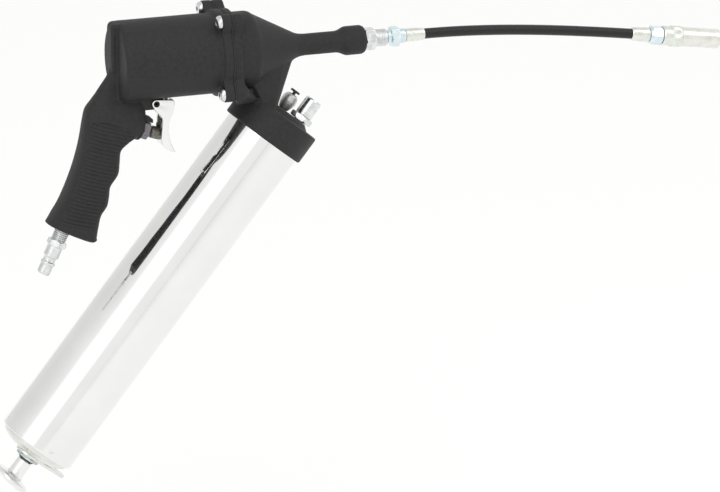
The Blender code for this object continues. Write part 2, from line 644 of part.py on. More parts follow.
def barrel_end(chrome, rubber, zinc):
    edge = BARREL_R - BARREL_WALL - GAP
    end = BARREL_END
    skirt = [(edge - 1.0, end - 8.0), (edge, end - 8.0), (edge, end - 2.2), (edge - 1.2, end - 1.2)]
    dome = [(26.3, end + 0.4), (24.2, end + 2.4), (20.2, end + 4.4), (15.2, end + 5.8), (10.6, CAP_FACE),
            (CAP_HOLE_R, CAP_FACE), (CAP_HOLE_R, CAP_FACE - 1.0), (10.2, CAP_FACE - 1.0),
            (14.3, end + 4.4), (19.0, end + 2.9), (22.8, end + 1.1), (edge - 1.0, end - 2.4)]
    turned("barrel_end_cap", skirt + dome, barrel_place(), chrome)
    turned("rod_gland_nut", [(ROD_R + GAP, CAP_FACE - 8.0), (6.3, CAP_FACE - 8.0), (6.3, GLAND_HEX_TOP),
                             (7.6, GLAND_HEX_TOP, HEX), (7.6, GLAND_HEX_BOTTOM - 0.5, HEX),
                             (7.0, GLAND_HEX_BOTTOM), (ROD_R + GAP, GLAND_HEX_BOTTOM)],
           barrel_place(), zinc, MEDIUM)
    turned("rod_o_ring", [(ROD_R + GAP, GLAND_HEX_BOTTOM + GAP), (6.0, GLAND_HEX_BOTTOM + GAP),
                          (6.0, KNOB_TOP - GAP), (ROD_R + GAP, KNOB_TOP - GAP)],
           barrel_place(), rubber, COARSE)
    turned("barrel_seal", [(BARREL_R - 3.5, SOCKET_TOP + GAP), (BARREL_R, SOCKET_TOP + GAP),
                           (BARREL_R, BARREL_TOP - GAP), (BARREL_R - 3.5, BARREL_TOP - GAP)],
           barrel_place(), rubber)


def rod_lock_plate(paint):
    """Keyhole plate that slides under the gland nut to hook the pulled-out rod."""
    half = 6.6
    reach = 31.0
    slot_reach = 3.2
    points = []
    for step in range(9):
        angle = math.radians(-90.0 + 22.5 * step)
        points.append((reach - half + half * math.cos(angle), half * math.sin(angle)))
    broad = 9.6
    for step in range(9):
        angle = math.radians(90.0 + 22.5 * step)
        points.append((-1.0 + broad * math.cos(angle), broad * math.sin(angle)))
    place = barrel_place()
    turn = Matrix.Rotation(math.radians(180.0), 4, "Z")
    low = [Vector((x, y, LATCH_TOP)) for x, y in points]
    high = [Vector((x, y, LATCH_BOTTOM)) for x, y in points]
    plate = loft("rod_lock_plate", [low, high], paint)
    hole_points = []
    for step in range(9):
        angle = math.radians(-90.0 + 22.5 * step)
        hole_points.append((GAP + 6.6 * math.cos(angle), 6.6 * math.sin(angle)))
    for step in range(9):
        angle = math.radians(90.0 + 22.5 * step)
        hole_points.append((-slot_reach + 6.6 * math.cos(angle), 6.6 * math.sin(angle)))
    hole = loft("latch_cut", [[Vector((x, y, LATCH_TOP - 2)) for x, y in hole_points],
                              [Vector((x, y, LATCH_BOTTOM + 2)) for x, y in hole_points]], None)
    plate.matrix_world = place @ turn
    hole.matrix_world = place @ turn
    combine(plate, [hole], "DIFFERENCE")


def follower(chrome, steel, rubber):
    """Rod, rubber cup, backing disc, nut and knob that travel together, and the spring behind them."""
    top = FOLLOWER_TOP
    edge = BARREL_R - BARREL_WALL - GAP
    disc = top + 14.3
    nut = disc + 1.5 + GAP
    turned("follower_rod", [(0, top + 2.6), (ROD_R, top + 2.6), (ROD_R, ROD_END), (0, ROD_END)],
           barrel_place(), steel, COARSE)
    turned("follower_cup", [(0, top), (edge - 1.4, top), (edge, top + 1.2), (edge, disc - 1.0),
                            (edge - 1.2, disc - 1.0), (edge - 2.4, top + 6.0), (11.0, top + 6.0),
                            (11.0, disc - GAP), (ROD_R + GAP, disc - GAP), (ROD_R + GAP, top + 2.3),
                            (0, top + 2.3)], barrel_place(), rubber, MEDIUM)
    turned("follower_disc", [(ROD_R + GAP, disc), (22.5, disc), (22.5, disc + 1.5),
                             (ROD_R + GAP, disc + 1.5)], barrel_place(), steel, MEDIUM)
    turned("follower_nut", [(ROD_R + GAP, nut), (5.5, nut, HEX), (5.5, nut + 4.0, HEX),
                            (ROD_R + GAP, nut + 4.0)], barrel_place(), steel, COARSE)
    hollow = ROD_END + GAP
    flare = KNOB_TOP + 9.8
    rim = KNOB_TOP + 15.2
    turned("pull_knob", [(0, hollow), (ROD_R + GAP, hollow), (ROD_R + GAP, KNOB_TOP), (5.2, KNOB_TOP),
                         (5.5, KNOB_TOP + 0.4), (5.5, flare), (6.2, flare + 2.0), (8.6, flare + 3.6),
                         (12.8, rim - 0.8), (13.7, rim), (13.7, rim + 1.4), (12.4, rim + 2.6),
                         (9.0, rim + 3.6), (4.0, rim + 4.1), (0, rim + 4.2)],
           barrel_place(), chrome, MEDIUM)
    coil("follower_spring", 20.0, 1.0, disc + 1.5 + GAP, BARREL_END - 8.4, 13, barrel_place(), steel)


def collar_fittings(zinc, steel, black):
    pad = PAD_TOP - GAP
    turned("loader_fitting", [(1.6, -19.0), (4.0, -19.0), (4.0, pad), (5.9, pad, HEX), (6.3, pad - 0.5, HEX),
                              (6.3, -27.6, HEX), (5.7, -28.2, HEX), (4.9, -28.5), (4.9, -29.3),
                              (5.7, -29.9), (5.7, -41.2), (5.0, -42.2), (2.6, -42.2), (2.6, -38.0),
                              (1.6, -37.0)],
           barrel_place(LOADER_FRONT), zinc, MEDIUM)
    place = barrel_place(BLEEDER_FRONT, BLEEDER_SIDE)
    turned("bleeder_body", [(1.6, -19.0), (3.1, -19.0), (3.1, pad), (4.4, pad), (4.4, -26.2), (5.5, -27.8),
                            (5.5, -34.0), (4.7, -35.8), (3.4, -36.7), (1.6, -36.7)], place, steel, COARSE)
    turned("bleeder_button", [(0, -21.0), (1.2, -21.0), (1.2, -38.2), (3.5, -38.3), (3.7, -38.7),
                              (3.7, -39.4), (3.2, -40.0), (0, -40.0)], place, black, COARSE)


# ---------------------------------------------------------------- hose and coupler

def outlet_fittings(zinc, steel):
    place = axis_place(ORIGIN, ALONG_X)
    end = HEAD_END_X + GAP
    turned("outlet_adapter", [(2.0, OUTLET_THREAD_X + GAP), (7.0, OUTLET_THREAD_X + GAP), (7.0, end),
                              (6.8, end, HEX), (7.1, end + 0.5, HEX), (7.1, 192.6, HEX), (6.7, 193.2, HEX),
                              (6.1, 193.4), (6.1, 202.4), (3.2, 202.8), (3.2, 209.0), (2.0, 209.0)],
           place, zinc, MEDIUM)
    turned("hose_nut_in", [(3.5, 203.1), (4.6, 203.1), (4.6, 205.2), (6.0, 206.2, HEX), (6.3, 206.9, HEX),
                           (6.3, 211.0, HEX), (5.9, 211.6, HEX), (5.1, 212.0), (5.1, 215.4), (4.8, 216.4),
                           (3.5, 216.4)], place, zinc, MEDIUM)
    turned("hose_ferrule_in", [(2.0, 209.3), (3.2, 209.3), (3.2, 216.7), (4.7, 216.7), (4.7, 223.0),
                               (4.25, 229.8), (4.0, 230.7), (2.0, 230.7)], place, steel, MEDIUM)


def hose_height(x):
    """Droop of the hose below its start, as a beam clamped at one end."""
    t = (x - HOSE_START_X) / HOSE_SPAN
    return -HOSE_DROP * t * t * (HOSE_BEND - t) / (HOSE_BEND - 1)


def hose(paint):
    curve = bpy.data.curves.new("hose", "CURVE")
    curve.dimensions = "3D"
    curve.bevel_depth = HOSE_R * MM
    curve.bevel_resolution = 3
    curve.use_fill_caps = True
    spline = curve.splines.new("POLY")
    spline.points.add(HOSE_POINTS - 1)
    for number, point in enumerate(spline.points):
        x = HOSE_START_X + HOSE_SPAN * number / (HOSE_POINTS - 1)
        point.co = (x * MM, 0.0, hose_height(x) * MM, 1.0)
    curve.materials.append(paint)
    obj = bpy.data.objects.new("hose", curve)
    bpy.context.scene.collection.objects.link(obj)


JAW_REAR = 43.6
JAW_SHOULDER = 60.0


def coupler(zinc, steel, rubber):
    """Hydraulic coupler on the hose's end: its sleeve forces three jaws onto a nipple."""
    place = axis_place(HOSE_END, HOSE_END_DIRECTION)
    turned("hose_ferrule_out", [(2.0, 0.3), (4.4, 0.3), (4.7, 1.0), (5.3, 13.6), (4.4, 14.3), (4.4, 17.4),
                                (2.0, 17.4)], place, steel, MEDIUM)
    turned("hose_nut_out", [(4.7, 14.6), (5.5, 14.6), (5.6, 15.4, HEX), (6.1, 16.8, HEX), (6.1, 23.4, HEX),
                            (5.7, 24.1, HEX), (3.0, 24.1), (3.0, 17.8), (4.7, 17.8)],
           place, zinc, MEDIUM)
    turned("coupler_body", [(1.6, 18.7), (2.7, 18.7), (2.7, 24.4), (6.7, 24.4), (7.1, 25.3), (7.1, 30.8),
                            (7.5, 31.2), (7.5, 38.7), (7.1, 39.2), (5.4, 39.2), (5.4, 41.8),
                            (1.6, 41.8)], place, steel, MEDIUM)
    turned("coupler_sleeve", [(5.8, 39.5), (7.1, 39.5), (7.0, 41.4), (7.0, 67.7), (6.5, 69.5), (5.8, 70.2),
                              (4.0, 70.2), (4.0, 64.9), (5.6, 61.0), (5.8, 60.4)],
           place, zinc, MEDIUM)
    turned("coupler_seal", [(1.4, 55.2), (2.3, 55.2), (2.3, 59.0), (1.4, 59.0)], place, rubber, COARSE)
    coil("coupler_spring", 2.0, 0.35, 42.1, 54.9, 6, place, steel)
    for number in range(3):
        jaw(f"coupler_jaw_{number + 1}", number, place, steel)


def jaw(name, number, place, paint):
    """One of three arc-shaped jaws around the seal."""
    half_arc = math.radians(52.0)
    steps = 8
    profile = [(2.7, JAW_REAR), (5.3, JAW_REAR), (5.3, JAW_SHOULDER), (3.9, 63.4), (2.7, 64.2)]
    rings = []
    for step in range(steps + 1):
        angle = math.radians(120.0 * number) - half_arc + 2 * half_arc * step / steps
        rings.append([Vector((r * math.cos(angle), r * math.sin(angle), z)) for r, z in profile])
    piece = loft(name, rings, paint)
    piece.matrix_world = place


def build():
    clear_scene()
    black = material("powder_coat", (0.035, 0.035, 0.037), 0.6)
    rubber = material("rubber", (0.02, 0.02, 0.02), 0.7)
    gasket = material("gasket", (0.03, 0.03, 0.03), 0.8)
    cap_black = material("cap_plastic", (0.02, 0.02, 0.02), 0.4)
    chrome = material("chrome", (0.85, 0.85, 0.86), 0.08, 1.0)
    zinc = material("zinc_plate", (0.72, 0.74, 0.76), 0.25, 1.0)
    steel = material("steel", (0.5, 0.5, 0.51), 0.35, 1.0)
    dark_steel = material("dark_steel", (0.22, 0.21, 0.22), 0.4, 1.0)
    brass = material("bronze", (0.28, 0.24, 0.18), 0.4, 1.0)
    motor_housing(black)
    head_casting(black)
    flange_gasket(gasket)
    flange_screws(zinc)
    air_motor(steel, rubber)
    outlet_check(steel)
    valve(dark_steel, brass, rubber)
    trigger(chrome)
    trigger_pin(steel)
    air_plug(zinc)
    barrel_tube(chrome)
    barrel_end(chrome, rubber, zinc)
    rod_lock_plate(zinc)
    follower(chrome, steel, rubber)
    collar_fittings(zinc, steel, cap_black)
    outlet_fittings(zinc, steel)
    hose(rubber)
    coupler(zinc, steel, rubber)


build()
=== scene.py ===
"""Looks of the air-operated grease gun: every visible piece rebuilt in fine mesh on the CAD frame.

Dimensions are millimetres in the CAD's frame; MM turns them into metres.
"""

import math

import bmesh
import bpy
from mathutils import Matrix, Vector


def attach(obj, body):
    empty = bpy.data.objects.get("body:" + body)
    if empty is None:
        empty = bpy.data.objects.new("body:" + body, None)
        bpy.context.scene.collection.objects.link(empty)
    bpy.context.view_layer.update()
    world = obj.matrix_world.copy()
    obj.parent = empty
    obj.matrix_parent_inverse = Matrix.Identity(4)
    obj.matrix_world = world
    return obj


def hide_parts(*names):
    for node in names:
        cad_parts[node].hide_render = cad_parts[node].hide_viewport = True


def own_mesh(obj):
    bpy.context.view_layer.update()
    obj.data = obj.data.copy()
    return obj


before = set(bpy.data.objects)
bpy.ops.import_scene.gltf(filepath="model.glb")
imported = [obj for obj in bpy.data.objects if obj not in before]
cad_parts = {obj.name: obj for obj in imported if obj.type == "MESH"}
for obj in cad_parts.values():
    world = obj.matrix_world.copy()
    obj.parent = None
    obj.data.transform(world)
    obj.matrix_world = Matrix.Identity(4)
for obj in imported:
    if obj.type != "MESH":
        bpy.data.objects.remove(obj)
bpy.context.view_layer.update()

MM = 0.001
ALONG_X = Vector((1.0, 0.0, 0.0))
ALONG_Y = Vector((0.0, 1.0, 0.0))
ALONG_Z = Vector((0.0, 0.0, 1.0))
ORIGIN = Vector((0.0, 0.0, 0.0))
HEX = 99.0                     # full hexagon corners; a lower number rounds them to that radius
ROUND_SEGMENTS = 96
HULL_SEGMENTS = 36
CAST_VOXEL = 0.7
CAST_SMOOTHING = 4

# Camera, in metres and degrees
CAMERA_TURN = 20.716
CAMERA_TILT = 17.67
CAMERA_ROLL = 0.309
CAMERA_DISTANCE = 2.8859
CAMERA_AIM = Vector((0.184, 0.0, -0.1516))
CAMERA_SCALE = 0.00071         # metres across one picture point at the aim
PICTURE_WIDTH = 720.0
SENSOR_WIDTH = 36.0
FLOOR_Z = -0.50                # low enough for the follower rod when it is fully drawn out
FLOOR_HALF = 8.0

# Places and sizes, most of them the CAD's own
CYLINDER_R = 28.0
CYLINDER_REAR = 4.4
FLANGE_R = 30.2
JOINT_X = 80.4
HEAD_X = 81.7
SCREWS = [(-21.0, 26.6), (21.0, 26.6), (-27.0, -22.8), (27.0, -22.8)]
EAR_R = 5.5
BARREL_ANGLE = math.radians(51.05)
BARREL_DOWN = Vector((-math.cos(BARREL_ANGLE), 0.0, -math.sin(BARREL_ANGLE)))
BARREL_FRONT = Vector((math.sin(BARREL_ANGLE), 0.0, -math.cos(BARREL_ANGLE)))
COLLAR_FACE = Vector((110.8, 0.0, -63.9))
LOADER_FRONT = 15.4
BLEEDER_FRONT = 4.8
BLEEDER_SIDE = 11.0
VALVE_FACE = Vector((22.1, 0.0, -49.4))
VALVE_ANGLE = math.radians(20.0)
VALVE_OUT = Vector((math.cos(VALVE_ANGLE), 0.0, -math.sin(VALVE_ANGLE)))
VALVE_UP = Vector((math.sin(VALVE_ANGLE), 0.0, math.cos(VALVE_ANGLE)))
TRIGGER_PIVOT = Vector((31.4, 0.0, -30.9))
FOOT_REAR = Vector((-46.6, 0.0, -110.6))
FOOT_FRONT = Vector((-12.6, 0.0, -127.4))
PLUG_CENTER = FOOT_REAR.lerp(FOOT_FRONT, 0.34)
PLUG_DOWN = (FOOT_REAR - FOOT_FRONT).cross(ALONG_Y).normalized()
HOSE_START_X = 231.0
HOSE_SPAN = 159.3
HOSE_DROP = 14.0
HOSE_BEND = 3.6
HOSE_R = 3.7
HOSE_END = Vector((HOSE_START_X + HOSE_SPAN, 0.0, -HOSE_DROP))
HOSE_END_ANGLE = math.atan(HOSE_DROP / HOSE_SPAN * (2 * HOSE_BEND - 3) / (HOSE_BEND - 1))
HOSE_OUT = Vector((math.cos(HOSE_END_ANGLE), 0.0, -math.sin(HOSE_END_ANGLE)))


# ---------------------------------------------------------------- camera, light and floor

def camera():
    turn = math.radians(CAMERA_TURN)
    tilt = math.radians(CAMERA_TILT)
    roll = math.radians(CAMERA_ROLL)
    right = Vector((math.cos(turn), -math.sin(turn), 0.0))
    down_view = Vector((math.sin(turn) * math.cos(tilt), math.cos(turn) * math.cos(tilt),
                        -math.sin(tilt)))
    up = Vector((math.sin(turn) * math.sin(tilt), math.cos(turn) * math.sin(tilt), math.cos(tilt)))
    rolled = right * math.cos(roll) + up * math.sin(roll)
    up = up * math.cos(roll) - right * math.sin(roll)
    place = CAMERA_AIM - down_view * CAMERA_DISTANCE
    data = bpy.data.cameras.new("camera")
    data.sensor_width = SENSOR_WIDTH
    data.lens = CAMERA_DISTANCE / CAMERA_SCALE * SENSOR_WIDTH / PICTURE_WIDTH
    data.clip_end = 30.0
    data.dof.use_dof = False
    obj = bpy.data.objects.new("camera", data)
    bpy.context.scene.collection.objects.link(obj)
    obj.matrix_world = Matrix(((rolled.x, up.x, -down_view.x, place.x),
                               (rolled.y, up.y, -down_view.y, place.y),
                               (rolled.z, up.z, -down_view.z, place.z),
                               (0.0, 0.0, 0.0, 1.0)))
    bpy.context.scene.camera = obj


def area_light(name, place, aim, width, height, power):
    data = bpy.data.lights.new(name, "AREA")
    data.shape = "RECTANGLE"
    data.size = width
    data.size_y = height
    data.energy = power
    obj = bpy.data.objects.new(name, data)
    bpy.context.scene.collection.objects.link(obj)
    obj.location = place
    obj.rotation_euler = (Vector(aim) - Vector(place)).to_track_quat("-Z", "Y").to_euler()


def soft_surround():
    """White surround in long soft panels of different brightness, laid along the barrel."""
    world = bpy.data.worlds.new("studio")
    bpy.context.scene.world = world
    world.use_nodes = True
    nodes = world.node_tree.nodes
    links = world.node_tree.links
    where = nodes.new("ShaderNodeTexCoord")
    turn = nodes.new("ShaderNodeVectorRotate")
    turn.rotation_type = "Y_AXIS"
    turn.inputs["Angle"].default_value = -math.atan2(BARREL_DOWN.x, BARREL_DOWN.z)
    around = nodes.new("ShaderNodeTexGradient")
    around.gradient_type = "RADIAL"
    panels = nodes.new("ShaderNodeValToRGB")
    ramp = panels.color_ramp
    # share of a turn, brightness, warmth
    levels = [(0.0, 1.0, 0.0), (0.20, 0.95, 0.04), (0.25, 0.88, 0.05), (0.265, 0.97, 0.0),
              (0.325, 0.98, 0.0), (0.345, 1.35, 0.0), (0.43, 1.35, 0.0), (0.455, 0.99, 0.0),
              (0.50, 0.90, 0.0), (0.55, 0.84, 0.02), (0.62, 0.80, 0.02), (0.75, 0.86, 0.01),
              (0.78, 1.0, 0.0), (1.0, 1.0, 0.0)]
    while len(ramp.elements) < len(levels):
        ramp.elements.new(0.5)
    for element, (position, level, warm) in zip(ramp.elements, levels):
        element.position = position
        element.color = (level, level * (1 - 0.2 * warm), level * (1 - warm), 1.0)
    shine = nodes["Background"]
    links.new(where.outputs["Generated"], turn.inputs["Vector"])
    links.new(turn.outputs["Vector"], around.inputs["Vector"])
    links.new(around.outputs["Fac"], panels.inputs["Fac"])
    links.new(panels.outputs["Color"], shine.inputs["Color"])
    shine.inputs["Strength"].default_value = 1.0


def studio():
    scene = bpy.context.scene
    scene.view_settings.view_transform = "Standard"
    soft_surround()
    area_light("key", (-0.9, -1.9, 1.7), (0.1, 0.0, -0.1), 1.4, 1.4, 7.0)
    area_light("rim", (1.5, -0.8, 1.3), (0.15, 0.0, -0.05), 0.9, 0.9, 3.0)
    floor = bpy.data.meshes.new("floor")
    corners = [(-1, -1), (1, -1), (1, 1), (-1, 1)]
    corners = [(x * FLOOR_HALF, y * FLOOR_HALF, FLOOR_Z) for x, y in corners]
    floor.from_pydata(corners, [], [(0, 1, 2, 3)])
    floor.materials.append(plain("floor_white", (0.97, 0.97, 0.97), 0.95))
    obj = bpy.data.objects.new("floor", floor)
    scene.collection.objects.link(obj)


# ---------------------------------------------------------------- materials

# Material name, dark and light colour; then roughness, metallic, scale of the slow noise and its
# share of the roughness, strength, scale and depth (mm) of the fine grain, specular level
FINISHES = {
    "powder": ("powder_black", (0.0165, 0.0165, 0.0175), (0.0265, 0.0265, 0.028),
               0.60, 0.0, 420.0, 0.08, 0.9, 1100.0, 0.10, 0.28),
    "chrome": ("chrome_plate", (0.82, 0.82, 0.815), (0.86, 0.86, 0.85),
               0.07, 1.0, 30.0, 0.03, 0.05, 500.0, 0.02, 0.5),
    "cap": ("plated_cap", (0.70, 0.70, 0.67), (0.80, 0.80, 0.77),
            0.24, 1.0, 90.0, 0.06, 0.1, 900.0, 0.03, 0.5),
    "zinc": ("zinc_plate", (0.62, 0.635, 0.635), (0.80, 0.81, 0.81),
             0.22, 1.0, 260.0, 0.06, 0.1, 1600.0, 0.02, 0.5),
    "blue_zinc": ("blue_passivated_zinc", (0.62, 0.74, 0.78), (0.78, 0.87, 0.89),
                  0.22, 1.0, 200.0, 0.06, 0.1, 1600.0, 0.02, 0.5),
    "gland": ("dull_zinc", (0.40, 0.47, 0.45), (0.58, 0.65, 0.63),
              0.36, 1.0, 300.0, 0.06, 0.2, 1600.0, 0.03, 0.5),
    "ferrule": ("crimped_ferrule", (0.70, 0.73, 0.67), (0.82, 0.84, 0.79),
                0.28, 1.0, 220.0, 0.06, 0.1, 1600.0, 0.02, 0.5),
    "sleeve": ("brushed_sleeve", (0.74, 0.74, 0.70), (0.84, 0.84, 0.80),
               0.30, 1.0, 200.0, 0.06, 0.1, 1600.0, 0.02, 0.5),
    "dark_pin": ("blackened_pin", (0.02, 0.02, 0.02), (0.05, 0.05, 0.05),
                 0.5, 1.0, 600.0, 0.08, 0.15, 1500.0, 0.05, 0.5),
    "steel": ("machined_steel", (0.52, 0.52, 0.52), (0.66, 0.66, 0.66),
              0.30, 1.0, 320.0, 0.08, 0.2, 1800.0, 0.03, 0.5),
    "dark_steel": ("phosphate_nut", (0.145, 0.14, 0.15), (0.26, 0.25, 0.265),
                   0.42, 1.0, 420.0, 0.08, 0.5, 2000.0, 0.05, 0.5),
    "bronze": ("worn_bronze", (0.11, 0.105, 0.09), (0.30, 0.285, 0.25),
               0.40, 1.0, 500.0, 0.08, 0.6, 1200.0, 0.08, 0.5),
    "rubber": ("seal_rubber", (0.018, 0.018, 0.018), (0.028, 0.028, 0.028),
               0.65, 0.0, 300.0, 0.08, 0.4, 1500.0, 0.05, 0.5),
    "hose": ("hose_cover", (0.006, 0.006, 0.0065), (0.013, 0.013, 0.0135),
             0.34, 0.0, 900.0, 0.12, 0.6, 1800.0, 0.06, 0.4),
    "gasket": ("gasket_sheet", (0.015, 0.015, 0.015), (0.026, 0.026, 0.026),
               0.85, 0.0, 500.0, 0.08, 0.15, 1500.0, 0.05, 0.5),
    # Bleeder button: its near-black colour is a painted dark reflection, standing in for the dark
    # reflection on a small chrome disc
    "dark_reflection_cap": ("cap_painted_dark_reflection", (0.016, 0.016, 0.016), (0.024, 0.024, 0.024),
                0.42, 0.0, 200.0, 0.08, 0.2, 1500.0, 0.05, 0.5),
    "ball": ("bleeder_steel", (0.55, 0.55, 0.54), (0.72, 0.72, 0.70),
             0.48, 1.0, 330.0, 0.08, 0.5, 1500.0, 0.06, 0.5),
}


def plain(name, color, roughness, metallic=0.0):
    made = bpy.data.materials.new(name)
    made.use_nodes = True
    shader = made.node_tree.nodes["Principled BSDF"]
    shader.inputs["Base Color"].default_value = (*color, 1.0)
    shader.inputs["Roughness"].default_value = roughness
    shader.inputs["Metallic"].default_value = metallic
    return made


def surface(name, dark, light, roughness, metallic, scale, spread, grain, grain_scale, depth,
            specular):
    """Finish with a slow shift of colour and gloss and a fine grain, in the piece's own space."""
    made = plain(name, light, roughness, metallic)
    nodes = made.node_tree.nodes
    links = made.node_tree.links
    shader = nodes["Principled BSDF"]
    shader.inputs["Specular IOR Level"].default_value = specular
    place = nodes.new("ShaderNodeTexCoord")
    slow = nodes.new("ShaderNodeTexNoise")
    slow.inputs["Scale"].default_value = scale
    slow.inputs["Detail"].default_value = 4.0
    links.new(place.outputs["Object"], slow.inputs["Vector"])
    ramp = nodes.new("ShaderNodeValToRGB")
    ramp.color_ramp.elements[0].position = 0.32
    ramp.color_ramp.elements[0].color = (*dark, 1.0)
    ramp.color_ramp.elements[1].position = 0.68
    ramp.color_ramp.elements[1].color = (*light, 1.0)
    links.new(slow.outputs["Fac"], ramp.inputs["Fac"])
    links.new(ramp.outputs["Color"], shader.inputs["Base Color"])
    gloss = nodes.new("ShaderNodeMapRange")
    gloss.inputs["From Min"].default_value = 0.3
    gloss.inputs["From Max"].default_value = 0.7
    gloss.inputs["To Min"].default_value = max(roughness - spread, 0.02)
    gloss.inputs["To Max"].default_value = min(roughness + spread, 1.0)
    links.new(slow.outputs["Fac"], gloss.inputs["Value"])
    links.new(gloss.outputs["Result"], shader.inputs["Roughness"])
    fine = nodes.new("ShaderNodeTexNoise")
    fine.inputs["Scale"].default_value = grain_scale
    fine.inputs["Detail"].default_value = 3.0
    links.new(place.outputs["Object"], fine.inputs["Vector"])
    bump = nodes.new("ShaderNodeBump")
    bump.inputs["Strength"].default_value = grain
    bump.inputs["Distance"].default_value = depth * MM
    links.new(fine.outputs["Fac"], bump.inputs["Height"])
    links.new(bump.outputs["Normal"], shader.inputs["Normal"])
    return made


def finishes():
    return {key: surface(*row) for key, row in FINISHES.items()}


# ---------------------------------------------------------------- building blocks

def axis_place(origin, direction):
    """Matrix that puts a piece made along +Z on an axis that lies in the XZ plane."""
    turn = Matrix.Rotation(math.atan2(direction.x, direction.z), 4, "Y")
    return Matrix.Translation(origin * MM) @ turn


GUN_AXIS = axis_place(ORIGIN, ALONG_X)


def barrel_place(front=0.0, side=0.0):
    return axis_place(COLLAR_FACE + BARREL_FRONT * front + ALONG_Y * side, BARREL_DOWN)


def barrel_point(height, front=0.0, side=0.0):
    return COLLAR_FACE + BARREL_DOWN * height + BARREL_FRONT * front + ALONG_Y * side


def new_object(name, mesh, paint=None):
    obj = bpy.data.objects.new(name, mesh)
    bpy.context.scene.collection.objects.link(obj)
    if paint:
        mesh.materials.append(paint)
    return obj


def from_shape(name, shape, paint=None, sharp=38.0):
    bmesh.ops.recalc_face_normals(shape, faces=shape.faces)
    mesh = bpy.data.meshes.new(name)
    shape.to_mesh(mesh)
    shape.free()
    mesh.shade_smooth()
    mesh.set_sharp_from_angle(angle=math.radians(sharp))
    return new_object(name, mesh, paint)


def rounded(profile, radius):
    """Round the corners of a profile, except where it or a neighbour is a hexagon."""
    if radius <= 0:
        return profile
    made = []
    count = len(profile)
    closed = profile[0][0] > 0
    for number, point in enumerate(profile):
        inner = closed or 0 < number < count - 1
        before = profile[number - 1]
        after = profile[(number + 1) % count]
        if not inner or len(point) > 2 or len(before) > 2 or len(after) > 2:
            made.append(point)
            continue
        here = Vector(point)
        back = Vector(before) - here
        ahead = Vector(after) - here
        reach = min(radius, back.length * 0.45, ahead.length * 0.45)
        if reach < 0.02 or back.angle(ahead) > math.radians(168.0):
            made.append(point)
            continue
        start = here + back.normalized() * reach
        end = here + ahead.normalized() * reach
        for step in range(4):
            t = step / 3
            mixed = start * (1 - t) ** 2 + here * 2 * t * (1 - t) + end * t ** 2
            made.append((mixed.x, mixed.y))
    return made


def ring_radius(point, angle):
    if len(point) < 3:
        return point[0]
    sector = math.radians(60.0)
    across = point[0] / math.cos((angle + sector / 2) % sector - sector / 2)
    return min(across, max(point[2], point[0]))


def turned_shape(profile, segments=ROUND_SEGMENTS, swell=None):
    """Turn a profile of (radius, height) points about +Z.

    A third number makes a point a hexagon; swell(angle, radius, height) may shift a radius.
    """
    shape = bmesh.new()
    rings = []
    for point in profile:
        height = point[1] * MM
        if point[0] == 0:
            rings.append([shape.verts.new((0.0, 0.0, height))])
            continue
        ring = []
        for step in range(segments):
            angle = 2 * math.pi * step / segments
            radius = ring_radius(point, angle)
            if swell:
                radius += swell(angle, radius, point[1])
            radius *= MM
            ring.append(shape.verts.new((radius * math.cos(angle), radius * math.sin(angle),
                                         height)))
        rings.append(ring)
    pairs = list(zip(rings, rings[1:]))
    if profile[0][0] > 0:
        pairs.append((rings[-1], rings[0]))
    for first, second in pairs:
        bridge(shape, first, second, segments)
    return shape


def bridge(shape, first, second, segments):
    for step in range(segments):
        after = (step + 1) % segments
        if len(first) == 1:
            shape.faces.new((first[0], second[step], second[after]))
        elif len(second) == 1:
            shape.faces.new((first[step], first[after], second[0]))
        else:
            shape.faces.new((first[step], first[after], second[after], second[step]))


def turned(name, profile, place, paint, edge=0.25, segments=ROUND_SEGMENTS, swell=None, sharp=38.0):
    shape = turned_shape(rounded(profile, edge), segments, swell)
    obj = from_shape(name, shape, paint, sharp)
    obj.matrix_world = place
    return obj


def hexagon(flat, start, end, chamfer=0.7):
    """Profile points of a hexagon with the usual turned chamfer at both ends."""
    corner = flat / math.cos(math.radians(30.0))
    sign = 1 if end > start else -1
    low = flat * 0.97
    made = [(low, start)]
    for part, at in ((0.0, 0.0), (0.35, 0.2), (0.7, 0.5), (1.0, 1.0)):
        made.append((flat, start + sign * chamfer * at, flat + (corner - flat) * part))
    for part, at in ((1.0, 1.0), (0.7, 0.5), (0.35, 0.2), (0.0, 0.0)):
        made.append((flat, end - sign * chamfer * at, flat + (corner - flat) * part))
    made.append((low, end))
    return made


def threaded(radius, start, end, pitch=1.4, depth=0.45):
    """Profile points of thread turns between two heights."""
    count = max(int(round(abs(end - start) / pitch)), 1)
    step = (end - start) / count
    made = []
    for number in range(count):
        at = start + number * step
        made += [(radius - depth, at + step * 0.06), (radius, at + step * 0.40),
                 (radius, at + step * 0.58), (radius - depth, at + step * 0.94)]
    return made


def loft(name, rings, paint=None, sharp=38.0):
    """Skin a row of rings that have the same number of points, and close both ends."""
    shape = bmesh.new()
    made = [[shape.verts.new(point * MM) for point in ring] for ring in rings]
    count = len(made[0])
    for first, second in zip(made, made[1:]):
        bridge(shape, first, second, count)
    for ring in (made[0], made[-1]):
        middle = Vector((0.0, 0.0, 0.0))
        for vert in ring:
            middle += vert.co / count
        hub = shape.verts.new(middle)
        for step in range(count):
            shape.faces.new((ring[step], ring[(step + 1) % count], hub))
    return from_shape(name, shape, paint, sharp)


def prism(name, outline, half_width, paint=None):
    """Flat shape of (x, z) points, extruded to both sides."""
    shape = bmesh.new()
    near = [shape.verts.new((x * MM, -half_width * MM, z * MM)) for x, z in outline]
    far = [shape.verts.new((x * MM, half_width * MM, z * MM)) for x, z in outline]
    bridge(shape, near, far, len(outline))
    shape.faces.new(near)
    shape.faces.new(list(reversed(far)))
    return from_shape(name, shape, paint)


